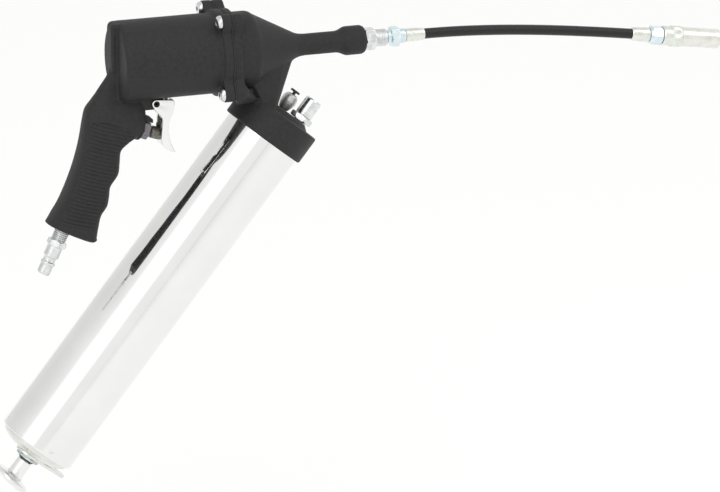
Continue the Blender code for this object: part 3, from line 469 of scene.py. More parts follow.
def hull(name, points):
    shape = bmesh.new()
    for point in points:
        shape.verts.new(point * MM)
    result = bmesh.ops.convex_hull(shape, input=shape.verts)
    unused = [item for item in result["geom_interior"] if isinstance(item, bmesh.types.BMVert)]
    bmesh.ops.delete(shape, geom=unused, context="VERTS")
    return from_shape(name, shape)


def rod(name, radius, start, end, segments=48):
    length = (end - start).length
    profile = [(0, 0), (radius, 0), (radius, length), (0, length)]
    return turned(name, profile, axis_place(start, end - start), None, 0.0, segments)


def cross_rod(name, radius, center, half_width, segments=48):
    profile = [(0, -half_width), (radius, -half_width), (radius, half_width), (0, half_width)]
    place = Matrix.Translation(center * MM) @ Matrix.Rotation(math.radians(-90.0), 4, "X")
    return turned(name, profile, place, None, 0.0, segments)


def smooth_through(points, between):
    """Catmull-Rom curve through points, with a number of steps between each two."""
    padded = [2 * points[0] - points[1], *points, 2 * points[-1] - points[-2]]
    curve = []
    for a, b, c, d in zip(padded, padded[1:], padded[2:], padded[3:]):
        for step in range(between):
            t = step / between
            curve.append(0.5 * (2 * b + (c - a) * t + (2 * a - 5 * b + 4 * c - d) * t * t
                                + (3 * b - a - 3 * c + d) * t * t * t))
    curve.append(points[-1])
    return curve


def baked(obj):
    """Apply an object's modifiers and placement to its mesh."""
    graph = bpy.context.evaluated_depsgraph_get()
    mesh = bpy.data.meshes.new_from_object(obj.evaluated_get(graph))
    mesh.transform(obj.matrix_world)
    obj.modifiers.clear()
    obj.data = mesh
    obj.matrix_world = Matrix.Identity(4)
    return obj


def combine(obj, tool, operation="DIFFERENCE"):
    """Queue an exact boolean with another object."""
    change = obj.modifiers.new(tool.name, "BOOLEAN")
    change.operation = operation
    change.solver = "EXACT"
    change.object = tool
    return change


def bevel(obj, name, width, segments, angle):
    edges = obj.modifiers.new(name, "BEVEL")
    edges.width = width * MM
    edges.segments = segments
    edges.limit_method = "ANGLE"
    edges.angle_limit = math.radians(angle)


def finished(obj, tools, sharp=None):
    """Apply the queued modifiers, remove the tools and shade the result."""
    bpy.context.view_layer.update()
    baked(obj)
    for tool in tools:
        bpy.data.objects.remove(tool, do_unlink=True)
    if sharp:
        obj.data.shade_smooth()
        obj.data.set_sharp_from_angle(angle=math.radians(sharp))


def circle(radius, count=HULL_SEGMENTS):
    """Points of a circle, as pairs of numbers."""
    turns = [2 * math.pi * step / count for step in range(count)]
    return [(radius * math.cos(turn), radius * math.sin(turn)) for turn in turns]


def joined_mesh(name, tools):
    """One mesh of all the tools' shapes; the tools are removed."""
    shape = bmesh.new()
    bpy.context.view_layer.update()
    for tool in tools:
        mesh = tool.data.copy()
        mesh.transform(tool.matrix_world)
        shape.from_mesh(mesh)
        bpy.data.meshes.remove(mesh)
        bpy.data.objects.remove(tool, do_unlink=True)
    mesh = bpy.data.meshes.new(name)
    shape.to_mesh(mesh)
    shape.free()
    return new_object(name, mesh)


def casting(name, solids, cuts):
    """Fuse shapes into one cast skin with soft inner corners, then machine the cuts."""
    skin = joined_mesh(name, solids)
    remesh = skin.modifiers.new("fuse", "REMESH")
    remesh.mode = "VOXEL"
    remesh.voxel_size = CAST_VOXEL * MM
    soft = skin.modifiers.new("soften", "SMOOTH")
    soft.factor = 0.5
    soft.iterations = CAST_SMOOTHING
    baked(skin)
    tool = joined_mesh(name + "_cuts", cuts)
    combine(skin, tool).use_self = True
    finished(skin, [tool], 42.0)
    return skin


def dressed(obj, paint, body, node):
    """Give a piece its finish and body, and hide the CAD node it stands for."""
    obj.data.materials.clear()
    obj.data.materials.append(paint)
    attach(obj, body)
    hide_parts(node)
    return obj


def turned_piece(node, name, profile, place, paint, body, piece_slot, edge, *shaping):
    obj = turned(name, profile, place, paint, edge, *shaping)
    return dressed(obj, paint, body, node)


# ---------------------------------------------------------------- housing

# Stations down the grip: rear x, rear z, front x, front z, half width
GRIP_STATIONS = [
    (0.2, -3.0, 19.0, -8.0, 6.0),
    (-1.5, -9.0, 20.0, -15.0, 6.1),
    (-5.1, -14.3, 22.0, -22.0, 6.5),
    (-9.1, -19.9, 23.6, -28.0, 7.8),
    (-13.2, -25.8, 24.4, -33.0, 10.0),
    (-17.6, -31.8, 25.0, -38.0, 12.0),
    (-19.6, -40.0, 24.8, -44.5, 13.4),
    (-21.0, -48.4, 20.8, -51.6, 14.1),
    (-22.3, -55.5, 12.8, -56.4, 14.4),
    (-23.8, -62.0, 6.6, -61.8, 14.6),
    (-26.1, -69.6, 5.4, -70.4, 14.9),
    (-29.0, -77.6, 4.2, -78.4, 15.1),
    (-32.2, -85.6, -1.4, -86.4, 15.3),
    (-35.6, -92.8, -2.6, -94.0, 15.4),
    (-38.6, -98.2, -4.0, -100.4, 15.4),
    (-41.8, -103.0, -8.4, -107.0, 15.3),
    (-44.8, -107.6, -10.6, -116.0, 15.1),
    (-46.5, -109.9, -12.0, -124.4, 14.8),
    (FOOT_REAR.x, FOOT_REAR.z, FOOT_FRONT.x, FOOT_FRONT.z, 13.6),
]
GRIP_SQUARENESS = 2.5
RIB_PITCH = 2.6
RIB_DEPTH = 0.75
FOOT_ROUND = 2.8
RIB_TILT = math.radians(16.5)
RIB_TOP = -38.6
RIB_BOTTOM = -117.0


def rise(value, start, end):
    """Smooth step from 0 at start to 1 at end."""
    t = min(max((value - start) / (end - start), 0.0), 1.0)
    return t * t * (3 - 2 * t)


def rib_inset(point, along):
    """Depth of the grooves pressed into the grip's sides, inside an arched outline."""
    level = point.z * math.cos(RIB_TILT) + point.x * math.sin(RIB_TILT)
    arch = RIB_TOP - 0.022 * (point.x + 9.0) ** 2
    mask = rise(arch - point.z, 0.0, 1.2)
    mask *= rise(level - RIB_BOTTOM, 0.0, 3.0)
    mask *= 1.0 - rise(along, 0.62, 0.70)
    mask *= 1.0 - rise(-along, 0.86, 0.93)
    wave = 0.5 - 0.5 * math.cos(2 * math.pi * level / RIB_PITCH)
    return mask * (0.15 + RIB_DEPTH * wave ** 1.8)


def grip_rings(between, count, inset, ribs):
    rears = smooth_through([Vector((s[0], 0.0, s[1])) for s in GRIP_STATIONS], between)
    fronts = smooth_through([Vector((s[2], 0.0, s[3])) for s in GRIP_STATIONS], between)
    widths = smooth_through([Vector((s[4], 0.0, 0.0)) for s in GRIP_STATIONS], between)
    rings = []
    for number, (rear, front, width) in enumerate(zip(rears, fronts, widths)):
        station = number / between
        center = (rear + front) / 2
        reach = (front - rear) / 2
        drawn_in = inset(station)
        shrink = 1.0 - drawn_in / reach.length
        ring = []
        for step in range(count):
            angle = 2 * math.pi * (step + 0.5) / count
            along = math.copysign(abs(math.cos(angle)) ** (2 / GRIP_SQUARENESS), math.cos(angle))
            across = math.copysign(abs(math.sin(angle)) ** (2 / GRIP_SQUARENESS), math.sin(angle))
            half = width.x - drawn_in
            point = center + reach * along * shrink + ALONG_Y * half * across
            if ribs:
                point.y -= math.copysign(rib_inset(point, along), across) * min(abs(across) * 1.4,
                                                                                1.0)
            ring.append(point)
        rings.append(ring)
    return rings


def foot_corners(rings):
    """Round the grip's lower edge by drawing in its last rings."""
    last = rings[-1]
    center = sum(last, Vector()) / len(last)
    down = PLUG_DOWN
    made = rings[:-14]
    for step in range(10):
        turn = math.radians(10.0 * step)
        drawn = FOOT_ROUND * (1 - math.cos(turn))
        lift = FOOT_ROUND * (1 - math.sin(turn))
        ring = []
        for point in last:
            outward = point - center
            ring.append(point - outward.normalized() * drawn - down * lift)
        made.append(ring)
    return made


def spine_shape():
    """Flat-backed rib down the rear of the cylinder, rounded over at its top."""
    ring = [(11.0, -6.0), (1.4, -6.0), (0.0, -4.6), (0.0, 4.6), (1.4, 6.0), (11.0, 6.0)]
    levels = [(-6.0, 0.4), (-2.0, 0.1), (3.0, 0.0), (24.0, 0.0), (25.6, 0.35), (26.8, 1.2),
              (27.5, 2.8)]
    rings = [[Vector((min(x + drawn_in, 11.0), y, z)) for x, y in ring] for z, drawn_in in levels]
    return loft("spine", rings)


def lobes(name, start, end, radius):
    """Ears around the four flange screws, each widening towards the middle."""
    made = []
    for number, (y, z) in enumerate(SCREWS, 1):
        points = [Vector((x, y * share + across, z * share + up))
                  for share, reach in ((1.0, radius), (0.7, radius + 3.0))
                  for across, up in circle(reach) for x in (start, end)]
        made.append(hull(f"{name}_{number}", points))
    return made


def screw_rods(name, start, end, radius):
    return [rod(f"{name}_{number}", radius, Vector((start, y, z)), Vector((end, y, z)))
            for number, (y, z) in enumerate(SCREWS, 1)]


def plug_rod(name):
    return rod(name, 5.9, PLUG_CENTER + PLUG_DOWN * 3.0, PLUG_CENTER - PLUG_DOWN * 14.0)


def fitting_rod(name, radius, front, side=0.0):
    return rod(name, radius, barrel_point(-14.5, front, side), barrel_point(-30.0, front, side))


def hood_shape():
    """Lip of the casting over the valve nut."""
    under = VALVE_FACE + VALVE_UP * 6.6
    outline = [under - VALVE_OUT * 4.0, under + VALVE_OUT * 5.4,
               under + VALVE_OUT * 5.2 + VALVE_UP * 2.2, under + VALVE_OUT * 4.2 + VALVE_UP * 3.0,
               under - VALVE_OUT * 4.0 + VALVE_UP * 3.6]
    return prism("hood", [(point.x, point.z) for point in outline], 5.0)


def housing(paint):
    corner = 3.2
    profile = [(0, CYLINDER_REAR)]
    for step in range(9):
        angle = math.radians(90.0 - 11.25 * step)
        profile.append((CYLINDER_R - corner + corner * math.cos(angle),
                        CYLINDER_REAR + corner - corner * math.sin(angle)))
    profile += [(CYLINDER_R, 73.8), (FLANGE_R, 74.4), (FLANGE_R, JOINT_X), (0, JOINT_X)]
    drum = turned("drum", profile, GUN_AXIS, None, 0.0, 128)
    core = grip_rings(6, 64, lambda station: 1.7 * rise(station, 3.0, 5.0), False)
    grip = loft("grip_core", core)
    lug = prism("lug", [(20.0, -24.0), (20.0, -35.2), (33.0, -35.2), (36.0, -32.8), (37.0, -29.6),
                        (37.0, -24.0)], 5.7)
    boss = rod("boss", 8.2, VALVE_FACE - VALVE_OUT * 12.0, VALVE_FACE)
    solids = [drum, grip, spine_shape(), lug, hood_shape(), boss,
              *lobes("ear", 73.4, JOINT_X - 0.1, EAR_R)]
    cuts = [rod("bore", 22.0, Vector((14.0, 0, 0)), Vector((85.4, 0, 0)), 96),
            rod("nut_seat", 6.5, VALVE_FACE, VALVE_FACE + VALVE_OUT * 10.0),
            rod("valve_bore", 4.3, VALVE_FACE - VALVE_OUT * 26.0, VALVE_FACE + VALVE_OUT * 5.0),
            plug_rod("plug_hole"),
            cross_rod("pin_hole", 2.2, TRIGGER_PIVOT, 12.0),
            *screw_rods("way", 65.8, JOINT_X + 3.0, 2.5),
            *screw_rods("seat", 65.8, 73.8, 5.3)]
    skin = casting("housing_casting", solids, cuts)
    dressed(skin, paint, "gun", "motor_housing")
    rings = grip_rings(18, 160, lambda station: 0.6 * (1.0 - rise(station, 2.4, 3.9)), True)
    rings = foot_corners(rings[18 * 2:])
    pad = loft("grip_skin", rings, paint)
    mouth = rod("skin_valve_hole", 6.5, VALVE_FACE - VALVE_OUT, VALVE_FACE + VALVE_OUT * 10.0)
    holes = [plug_rod("skin_plug_hole"), mouth]
    for hole in holes:
        combine(pad, hole)
    finished(pad, holes)
    pad.data.set_sharp_from_angle(angle=math.radians(50.0))
    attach(pad, "gun")


# ---------------------------------------------------------------- head

def neck_shape():
    upper = [(88.0, 16.5), (100.0, 15.0), (112.0, 14.5), (122.6, 12.0), (129.9, 7.0), (131.9, 3.0)]
    lower = [(-27.0, 14.0), (-21.0, 19.0), (-13.5, 19.5), (-9.8, 15.0), (-7.2, 7.0)]
    points = []
    for sign in (-1, 1):
        points += [Vector((x, sign * y, -4.0 - 0.12 * (x - 88.0))) for x, y in upper]
        points += [barrel_point(-19.2, front, sign * side) for front, side in lower]
    return hull("neck", points)


def boss_webs():
    """Gussets that carry the lower screw bosses down to the barrel's collar."""
    made = []
    for number, (y, z) in enumerate(SCREWS[2:], 1):
        side = math.copysign(1.0, y)
        ends = (HEAD_X + 1.0, 89.5)
        points = [Vector((x, y + across, z + up)) for across, up in circle(4.9) for x in ends]
        points += [Vector((HEAD_X + 2.0, side * 24.0, -31.6)), Vector((89.5, side * 22.0, -32.8)),
                   Vector((89.5, side * 10.0, -28.0)), barrel_point(-19.2, -25.0, side * 15.0)]
        made.append(hull(f"web_{number}", points))
    return made


def head(paint):
    profile = [(0, HEAD_X), (FLANGE_R, HEAD_X), (FLANGE_R, 86.6), (27.2, 87.4), (27.2, 99.4),
               (26.6, 101.4), (25.4, 102.8), (9.0, 134.2), (8.0, 137.4), (7.6, 141.0), (7.6, 165.0),
               (8.3, 167.6), (9.9, 170.8), (10.2, 172.2), (10.2, 183.0), (9.4, 184.9), (8.4, 185.6),
               (0, 185.6)]
    cone = turned("cone", profile, GUN_AXIS, None, 0.3, 128)
    collar_profile = [(0, -24.2), (18.9, -24.2), (22.5, -21.0), (22.5, -20.7), (30.4, -20.7),
                      (31.2, -19.9), (31.2, -0.6), (30.6, 0.0), (0, 0.0)]
    collar = turned("collar", collar_profile, barrel_place(), None, 0.3, 128)
    solids = [cone, collar, neck_shape(), *lobes("head_ear", HEAD_X + 0.1, 88.5, EAR_R),
              *boss_webs()]
    cuts = [rod("socket", 28.8, barrel_point(-17.5), barrel_point(3.0), 128),
            rod("pump_bore", 3.3, Vector((HEAD_X - 3, 0, 0)), Vector((148.0, 0, 0))),
            rod("packing", 7.0, Vector((HEAD_X - 3, 0, 0)), Vector((HEAD_X + 8, 0, 0))),
            rod("chamber", 4.4, Vector((146.0, 0, 0)), Vector((177.0, 0, 0))),
            rod("outlet", 7.3, Vector((175.0, 0, 0)), Vector((188.6, 0, 0))),
            fitting_rod("loader_hole", 4.3, LOADER_FRONT),
            fitting_rod("bleeder_hole", 3.4, BLEEDER_FRONT, BLEEDER_SIDE),
            *screw_rods("tapped", HEAD_X - 3.0, 87.7, 2.5)]
    skin = casting("head_skin", solids, cuts)
    dressed(skin, paint, "gun", "head_casting")


def gasket(paint):
    start = JOINT_X - 0.1
    end = HEAD_X + 0.1
    plate = turned("gasket_ring", [(23.0, start), (29.8, start), (29.8, end), (23.0, end)],
                   GUN_AXIS, None, 0.0)
    ears = lobes("gasket_ear", start, end, EAR_R - 0.4)
    for ear in ears:
        combine(plate, ear, "UNION")
    holes = [rod("gasket_bore", 23.0, Vector((start - 2.0, 0, 0)), Vector((start + 3.0, 0, 0)), 96),
             *screw_rods("gasket_hole", start - 2.0, start + 3.0, 2.5)]
    for hole in holes:
        combine(plate, hole)
    finished(plate, ears + holes)
    dressed(plate, paint, "gun", "flange_gasket")


def screws(paint):
    seat = 73.5
    top = 70.3
    profile = [(0, top + 1.8), (1.5, top + 1.8, HEX), (1.5, top + 0.2, HEX), (1.75, top, HEX),
               (2.6, top), (3.5, top + 0.25), (4.2, top + 0.8), (4.7, top + 1.5), (4.9, top + 2.3),
               (4.9, seat), (2.2, seat), (2.2, 86.8), (1.6, 87.4), (0, 87.4)]
    for number, (y, z) in enumerate(SCREWS, 1):
        turned_piece(f"flange_screw_{number}", f"screw_{number}", profile,
                     axis_place(Vector((0, y, z)), ALONG_X), paint, "gun", "zinc_plate", 0.15)


# ---------------------------------------------------------------- valve and trigger

def valve(nut_paint, plunger_paint):
    place = axis_place(VALVE_FACE, VALVE_OUT)
    profile = [(2.3, -5.0), (3.9, -5.0), (3.9, 0.3), (5.4, 0.3), *hexagon(5.9, 0.4, 5.2, 0.6)[1:-1],
               (5.3, 5.4), (4.6, 5.4), (4.6, 2.6), (2.3, 2.6)]
    turned_piece("valve_nut", "valve_hex", profile, place, nut_paint, "gun", "dark_steel", 0.0)

    def knurl(angle, radius, height):
        if radius < 4.0 or height < 8.2 or height > 14.4:
            return 0.0
        leftward = 0.5 + 0.5 * math.cos(24 * angle + 2.2 * height)
        rightward = 0.5 + 0.5 * math.cos(24 * angle - 2.2 * height)
        return -0.3 * leftward * rightward
    profile = [(0, -20.0), (1.9, -20.0), (1.9, 5.8), (2.8, 6.0), (3.6, 6.8), (4.1, 7.6)]
    profile += [(4.4 - 0.011 * step, 8.0 + 0.26 * step) for step in range(26)]
    profile += [(4.0, 15.1), (3.8, 15.7), (3.4, 16.2), (2.0, 16.5), (0, 16.5)]
    turned_piece("valve_plunger", "valve_button", profile, place, plunger_paint, "valve_plunger",
                 "bronze", 0.0, 144, knurl)


def trigger(paint):
    """Folded channel with rounded edges, an eye for the pin and a rolled tip."""
    front = [(43.4, -28.9), (44.4, -30.4), (44.3, -33.6), (43.2, -37.6), (41.6, -41.4),
             (40.4, -45.8), (40.0, -50.6), (40.8, -56.6), (42.6, -62.0), (44.8, -66.4)]
    rear = [(43.4, -66.3), (39.6, -64.4), (36.2, -61.8), (34.8, -59.0), (34.6, -55.6),
            (35.0, -50.6), (35.4, -46.0), (35.6, -42.4), (33.6, -38.8), (30.4, -35.6)]
    front = [(p.x, p.y) for p in smooth_through([Vector(p) for p in front], 4)]
    rear = [(p.x, p.y) for p in smooth_through([Vector(p) for p in rear], 4)]
    eye = []
    for step in range(29):
        angle = math.radians(215.0 - 126.0 * step / 28)
        eye.append((TRIGGER_PIVOT.x + 3.2 * math.cos(angle),
                    TRIGGER_PIVOT.z + 3.2 * math.sin(angle)))
    body = prism("trigger_channel", front + rear + eye, 7.6)
    inner = [(x - 1.5, z + 0.4) for x, z in front]
    inner[0] = (inner[0][0], -20.0)
    inner[-1] = (41.6, -72.0)
    inner += [(20.0, -72.0), (20.0, -20.0)]
    bevel(body, "fold", 1.1, 4, 60.0)
    cutters = [prism("channel_cut", inner, 6.1), cross_rod("pin_cut", 2.2, TRIGGER_PIVOT, 12.0)]
    for tool in cutters:
        combine(body, tool)
    bevel(body, "lips", 0.2, 2, 55.0)
    finished(body, cutters, 35.0)
    dressed(body, paint, "trigger", "trigger")


def pin(paint):
    place = Matrix.Translation(TRIGGER_PIVOT * MM) @ Matrix.Rotation(math.radians(-90.0), 4, "X")
    turned_piece("trigger_pin", "hinge_pin", [(1.0, -7.0), (1.9, -7.0), (1.9, 7.0), (1.0, 7.0)],
                 place, paint, "gun", "steel", 0.2, 48)


def plug(paint):
    profile = [(2.6, -10.0), (5.1, -10.0), (5.1, -9.4), *threaded(5.45, -9.2, 7.8, 1.35, 0.5),
               (4.9, 7.9), (6.1, 8.1), *hexagon(6.0, 8.2, 12.2, 0.6)[1:-1], (5.8, 12.4),
               (5.5, 12.7), (5.5, 20.0), (4.4, 21.2), (4.3, 23.6), (5.2, 24.4), (5.2, 25.8),
               (4.6, 26.4), (4.6, 32.6), (4.1, 33.5), (2.6, 33.5)]
    turned_piece("air_plug", "air_nipple", profile, axis_place(PLUG_CENTER, PLUG_DOWN), paint,
                 "gun", "zinc_plate", 0.25)


# ---------------------------------------------------------------- barrel

CRIMP_HEIGHT = 261.3


def crimp(angle, radius, height):
    """Four punched dimples that hold the end cap in the tube."""
    if radius < 28.0:
        return 0.0
    sunk = 0.0
    for number in range(4):
        across = math.remainder(angle - number * math.pi / 2 - 0.03, 2 * math.pi) * radius
        away = math.hypot(across / 2.3, (height - CRIMP_HEIGHT) / 2.1)
        if away < 1.0:
            sunk -= 0.7 * (1 - away * away) ** 0.6
    return sunk


def barrel(chrome, cap_paint, gland_paint, rubber):
    place = barrel_place()
    heights = [-14.6, -14.0, 0.0]
    heights += [4.0 * step for step in range(1, 63)]
    heights += [256.0 + 0.35 * step for step in range(28)]
    profile = [(27.7, -15.0), (28.2, -15.0), (28.5, -14.7)]
    profile += [(28.5, height) for height in heights[1:] if height < 265.4]
    profile += [(28.45, 265.9), (28.3, 266.4), (28.0, 266.8), (27.6, 267.05), (27.1, 267.2),
                (26.8, 267.15), (26.7, 266.9), (26.7, 266.4), (27.7, 265.4)]
    turned_piece("barrel_tube", "barrel_skin", profile, place, chrome, "barrel", "chrome", 0.0, 256,
                 crimp)
    cap_profile = [(26.4, 259.2), (27.4, 259.2), (27.4, 264.9), (26.25, 265.9), (26.3, 267.4),
                   (26.0, 268.2), (25.2, 269.4), (24.2, 270.1), (22.2, 271.2), (20.2, 272.0),
                   (17.6, 272.9), (15.2, 273.5), (12.6, 273.9), (10.6, 273.95), (8.4, 273.95),
                   (6.8, 273.95), (6.8, 272.9), (10.2, 272.9), (14.3, 271.6), (19.0, 270.1),
                   (22.8, 268.3), (26.4, 264.8)]
    turned_piece("barrel_end_cap", "barrel_cap", cap_profile, place, cap_paint, "barrel", "chrome",
                 0.0, 160)
    gland_profile = [(3.5, 265.9), (6.3, 265.9), (6.3, 276.7),
                     *hexagon(7.6, 276.7, 278.7, 0.5)[1:-1], (3.5, 278.7)]
    turned_piece("rod_gland_nut", "gland_hex", gland_profile, place, gland_paint, "barrel",
                 "zinc_plate", 0.0)
    ring = []
    for step in range(24):
        turn = 2 * math.pi * step / 24
        ring.append((4.7 + 1.1 * math.cos(turn), 279.5 + 0.45 * math.sin(turn)))
    turned_piece("rod_o_ring", "knob_o_ring", ring, place, rubber, "barrel", "rubber", 0.0)


KNOB_LEAN = 0.15               # the knob's flange sits slightly out of square on its neck
KNOB_LEAN_SIDE = (-0.891, -0.453)


def knob(paint):
    place = barrel_place()

    def knurl(angle, radius, height):
        if 5.3 < radius < 5.7 and 281.5 < height < 289.0:
            return -0.10 * (0.5 + 0.5 * math.cos(36 * angle))
        return 0.0
    profile = [(0, 290.2), (3.5, 290.2), (3.5, 280.3), (5.2, 280.3), (5.5, 280.7), (5.5, 281.6),
               (5.5, 284.0), (5.5, 286.5), (5.5, 288.9), (5.5, 290.1), (5.7, 291.2), (6.2, 292.1),
               (7.2, 293.0), (8.6, 293.7), (12.8, 294.6), (13.5, 295.1), (13.8, 295.8),
               (13.8, 296.5), (13.4, 297.3), (12.4, 298.0), (9.0, 299.0), (4.0, 299.6), (0, 299.7)]
    obj = turned("draw_knob", profile, place, paint, 0.0, 144, knurl)
    for vert in obj.data.vertices:
        across = KNOB_LEAN_SIDE[0] * vert.co.x + KNOB_LEAN_SIDE[1] * vert.co.y
        vert.co.z += KNOB_LEAN * across * rise(vert.co.z / MM, 290.5, 294.0)
    dressed(obj, paint, "follower", "pull_knob")


def lock_plate(paint):
    """Keyhole plate under the end cap that catches the rod, with its thumb tab to the front."""
    outline = []
    for step in range(40):
        turn = math.radians(60.0 + 240.0 * step / 39)
        outline.append((9.6 * math.cos(turn) - 0.9, 9.6 * math.sin(turn)))
    for step in range(21):
        turn = math.radians(-80.0 + 160.0 * step / 20)
        outline.append((24.4 + 6.6 * math.cos(turn), 6.6 * math.sin(turn)))
    shape = bmesh.new()
    low = [shape.verts.new((-x * MM, y * MM, 274.2 * MM)) for x, y in outline]
    high = [shape.verts.new((-x * MM, y * MM, 276.4 * MM)) for x, y in outline]
    bridge(shape, low, high, len(outline))
    shape.faces.new(low)
    shape.faces.new(list(reversed(high)))
    plate = from_shape("lock_tab", shape, paint)
    plate.matrix_world = barrel_place()
    ends = [(front, height) for front in (0.0, -2.9) for height in (272.0, 279.0)]
    slot = hull("lock_slot", [barrel_point(height, front + ahead, side)
                              for ahead, side in circle(6.6) for front, height in ends])
    combine(plate, slot)
    bevel(plate, "edges", 0.4, 3, 50.0)
    finished(plate, [slot], 40.0)
    dressed(plate, paint, "rod_lock_plate", "rod_lock_plate")


# ---------------------------------------------------------------- fittings on the collar

def loader(paint):
    profile = [(1.6, -19.0), (4.0, -19.0), (4.0, -24.5), (6.5, -24.5),
               *hexagon(7.2, -24.6, -28.6, 0.6)[1:-1], (5.8, -28.9), (6.2, -29.3), (6.2, -41.2),
               (5.4, -42.2), (2.6, -42.2), (2.6, -38.0), (1.6, -37.0)]
    turned_piece("loader_fitting", "loader_nipple", profile, barrel_place(LOADER_FRONT), paint,
                 "gun", "zinc_plate", 0.2)


def bleeder(body_paint, cap_paint):
    place = barrel_place(BLEEDER_FRONT, BLEEDER_SIDE)
    profile = [(1.6, -19.0), (3.1, -19.0), (3.1, -24.5), (3.6, -24.5), (4.2, -25.8), (4.9, -27.4),
               (5.4, -29.4), (5.6, -31.2), (5.4, -33.2), (4.9, -34.9), (4.2, -36.0), (3.3, -36.6),
               (1.6, -36.7)]
    turned_piece("bleeder_body", "bleeder_bulb", profile, place, body_paint, "gun", "steel", 0.15)
    # The button's near-black finish is a painted dark reflection of a chrome disc
    profile = [(0, -21.0), (1.2, -21.0), (1.2, -38.3), (3.4, -38.3), (3.7, -38.6), (3.7, -39.2),
               (3.5, -39.7), (3.0, -39.95), (0, -40.0)]
    turned_piece("bleeder_button", "bleeder_cap", profile, place, cap_paint, "bleeder_button",
                 "cap_plastic", 0.1)


# ---------------------------------------------------------------- outlet, hose and coupler

def outlet(paint, nut_paint, ferrule_paint):
    place = GUN_AXIS
    profile = [(2.0, 175.3), (6.9, 175.3), *threaded(7.1, 175.6, 185.4, 1.4, 0.45), (6.5, 185.7),
               (6.9, 185.9), *hexagon(7.1, 185.9, 193.1, 0.6)[1:-1], (6.1, 193.5), (6.1, 194.2),
               *threaded(6.1, 194.4, 202.0, 1.3, 0.4), (5.6, 202.4), (3.2, 202.8), (3.2, 209.0),
               (2.0, 209.0)]
    turned_piece("outlet_adapter", "outlet_nipple", profile, place, paint, "gun", "zinc_plate",
                 0.12)
    profile = [(3.5, 203.1), (4.6, 203.1), (4.6, 205.0), (5.6, 205.4),
               *hexagon(6.3, 205.6, 211.4, 0.6)[1:-1], (5.1, 211.8), (5.1, 215.4), (4.8, 216.4),
               (3.5, 216.4)]
    turned_piece("hose_nut_in", "hose_nut_rear", profile, place, nut_paint, "gun", "zinc_plate",
                 0.2)
    profile = [(2.0, 209.3), (3.2, 209.3), (3.2, 216.7), (4.7, 216.7), (4.7, 219.0), (4.5, 219.2),
               (4.5, 219.8), (4.7, 220.0), (4.7, 223.0), (4.62, 224.4), (4.5, 225.4), (4.55, 225.8),
               (4.42, 227.0), (4.25, 227.4), (4.35, 227.9), (4.25, 229.6), (4.0, 230.7),
               (2.0, 230.7)]
    turned_piece("hose_ferrule_in", "ferrule_rear", profile, place, ferrule_paint, "gun", "steel",
                 0.12)


def tube_ring(shape, center, across, up, radius, sides):
    """Vertices of one round section of a tube."""
    turns = [2 * math.pi * side / sides for side in range(sides)]
    outward = [across * math.cos(turn) + up * math.sin(turn) for turn in turns]
    return [shape.verts.new((center + way * radius) * MM) for way in outward]


def tube_piece(name, shape, rings, paint, sharp=38.0):
    """Skin a row of tube sections and close both ends."""
    for first, second in zip(rings, rings[1:]):
        bridge(shape, first, second, len(first))
    shape.faces.new(rings[0])
    shape.faces.new(list(reversed(rings[-1])))
    return from_shape(name, shape, paint, sharp)


def hose_line(t):
    """Point on the hose's middle line: level at its start, bending down to its far end."""
    return Vector((HOSE_START_X + HOSE_SPAN * t, 0.0,
                   -HOSE_DROP * t * t * (HOSE_BEND - t) / (HOSE_BEND - 1)))


def hose(paint):
    """Rubber hose with a fine moulded rib, skinned along its own line."""
    count = 900
    shape = bmesh.new()
    rings = []
    for step in range(count + 1):
        t = step / count
        center = hose_line(t)
        ahead = (hose_line(t + 0.001) - hose_line(t - 0.001)).normalized()
        lift = ahead.cross(ALONG_Y).normalized()
        distance = t * HOSE_SPAN
        radius = HOSE_R - 0.09 * (0.5 - 0.5 * math.cos(2 * math.pi * distance / 1.15))
        rings.append(tube_ring(shape, center, ALONG_Y, lift, radius, 40))
    obj = tube_piece("hose_cover", shape, rings, paint, 60.0)
    return dressed(obj, paint, "gun", "hose")


def coupler(paint, nut_paint, steel):
    place = axis_place(HOSE_END, HOSE_OUT)
    made = []
    profile = [(2.0, 0.3), (4.2, 0.3), (4.5, 0.9), (4.75, 2.4), (4.95, 3.0), (4.95, 4.6),
               (5.05, 5.4), (5.2, 11.4), (5.3, 13.4), (5.0, 14.2), (4.4, 14.3), (4.4, 17.4),
               (2.0, 17.4)]
    made.append(turned_piece("hose_ferrule_out", "ferrule_front", profile, place, steel, "gun",
                             "steel", 0.15))
    profile = [(4.7, 14.4), (5.3, 14.4), (5.6, 15.4), *hexagon(6.1, 15.9, 24.0, 0.7)[1:-1],
               (3.0, 24.1), (3.0, 17.8), (4.7, 17.8)]
    made.append(turned_piece("hose_nut_out", "hose_nut_front", profile, place, nut_paint, "gun",
                             "zinc_plate", 0.0))

    def collar_knurl(angle, radius, height):
        if radius > 7.3 and 31.6 < height < 38.4:
            return -0.22 * (0.5 + 0.5 * math.cos(48 * angle))
        return 0.0
    profile = [(1.6, 18.7), (2.7, 18.7), (2.7, 24.4), (6.5, 24.4), (6.9, 24.8), (7.1, 25.5),
               (7.1, 30.8), (7.45, 31.1), (7.5, 31.5), (7.5, 31.7), (7.5, 34.0), (7.5, 36.3),
               (7.5, 38.3), (7.45, 38.8), (7.1, 39.2), (5.4, 39.2), (5.4, 41.8), (1.6, 41.8)]
    made.append(turned_piece("coupler_body", "coupler_stock", profile, place, steel, "gun", "steel",
                             0.0, 192, collar_knurl))
    profile = [(5.8, 39.3), (7.0, 39.3), (7.1, 39.5), (7.1, 41.4), (7.0, 41.8), (7.0, 68.7),
               (6.9, 69.3), (6.6, 69.8), (6.1, 70.1), (5.6, 70.2), (4.0, 70.2), (4.0, 64.9),
               (5.6, 61.0), (5.8, 60.4)]
    made.append(turned_piece("coupler_sleeve", "coupler_skin", profile, place, paint, "gun",
                             "zinc_plate", 0.12))
    return made


# ---------------------------------------------------------------- springs

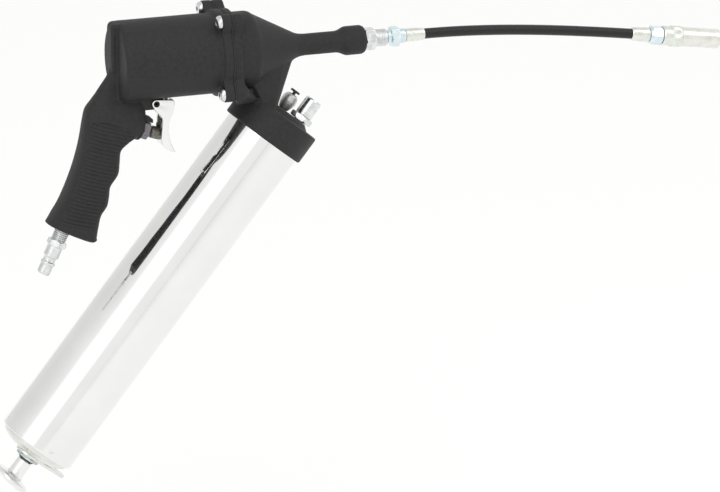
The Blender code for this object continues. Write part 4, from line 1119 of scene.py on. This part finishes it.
MOTOR_SPRING = (25.3, 81.4)
CHECK_SPRING = (152.58, 175.0)
FOLLOWER_SPRING = (8.1, 258.8)


def coil(name, mean_r, wire_r, start, end, turns, place, paint):
    """Compression spring along +Z between two heights, as one closed helical tube."""
    steps = turns * 40
    travel = end - start - 2 * wire_r
    shape = bmesh.new()
    rings = []
    for step in range(steps + 1):
        angle = 2 * math.pi * turns * step / steps
        outward = Vector((math.cos(angle), math.sin(angle), 0.0))
        center = outward * mean_r + ALONG_Z * (start + wire_r + travel * step / steps)
        rings.append(tube_ring(shape, center, outward, ALONG_Z, wire_r, 12))
    obj = tube_piece(name, shape, rings, paint)
    obj.matrix_world = place
    return obj


def springs(paint):
    """Springs of the motor, the check valve and the follower, each with a mesh of its own."""
    start, end = MOTOR_SPRING
    obj = coil("motor_spring", 12.0, 0.9, start, end, 8, GUN_AXIS, paint)
    dressed(obj, paint, "gun", "piston_spring")
    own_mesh(obj)
    start, end = CHECK_SPRING
    obj = coil("valve_ball_spring", 3.0, 0.35, start, end, 7, GUN_AXIS, paint)
    dressed(obj, paint, "gun", "check_spring")
    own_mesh(obj)
    start, end = FOLLOWER_SPRING
    obj = coil("grease_spring", 20.0, 1.0, start, end, 13, barrel_place(), paint)
    dressed(obj, paint, "barrel", "follower_spring")
    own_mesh(obj)


# ---------------------------------------------------------------- the gun

def painted_nodes(looks):
    """Finishes for the inner CAD pieces that show only through openings or in poses."""
    rubber = ["piston_seal", "plunger_packing", "valve_seal", "follower_cup", "barrel_seal",
              "coupler_seal"]
    for name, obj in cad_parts.items():
        if obj.hide_render:
            continue
        obj.data.materials.clear()
        obj.data.materials.append(looks["rubber" if name in rubber else "steel"])


camera()
studio()
looks = finishes()
line = hose(looks["hose"])
with_line = coupler(looks["sleeve"], looks["blue_zinc"], looks["ferrule"])
housing(looks["powder"])
head(looks["powder"])
gasket(looks["gasket"])
screws(looks["zinc"])
valve(looks["dark_steel"], looks["bronze"])
trigger(looks["chrome"])
pin(looks["dark_pin"])
plug(looks["zinc"])
barrel(looks["chrome"], looks["cap"], looks["gland"], looks["rubber"])
knob(looks["chrome"])
lock_plate(looks["cap"])
loader(looks["zinc"])
bleeder(looks["ball"], looks["dark_reflection_cap"])
outlet(looks["zinc"], looks["blue_zinc"], looks["ferrule"])
springs(looks["steel"])
painted_nodes(looks)
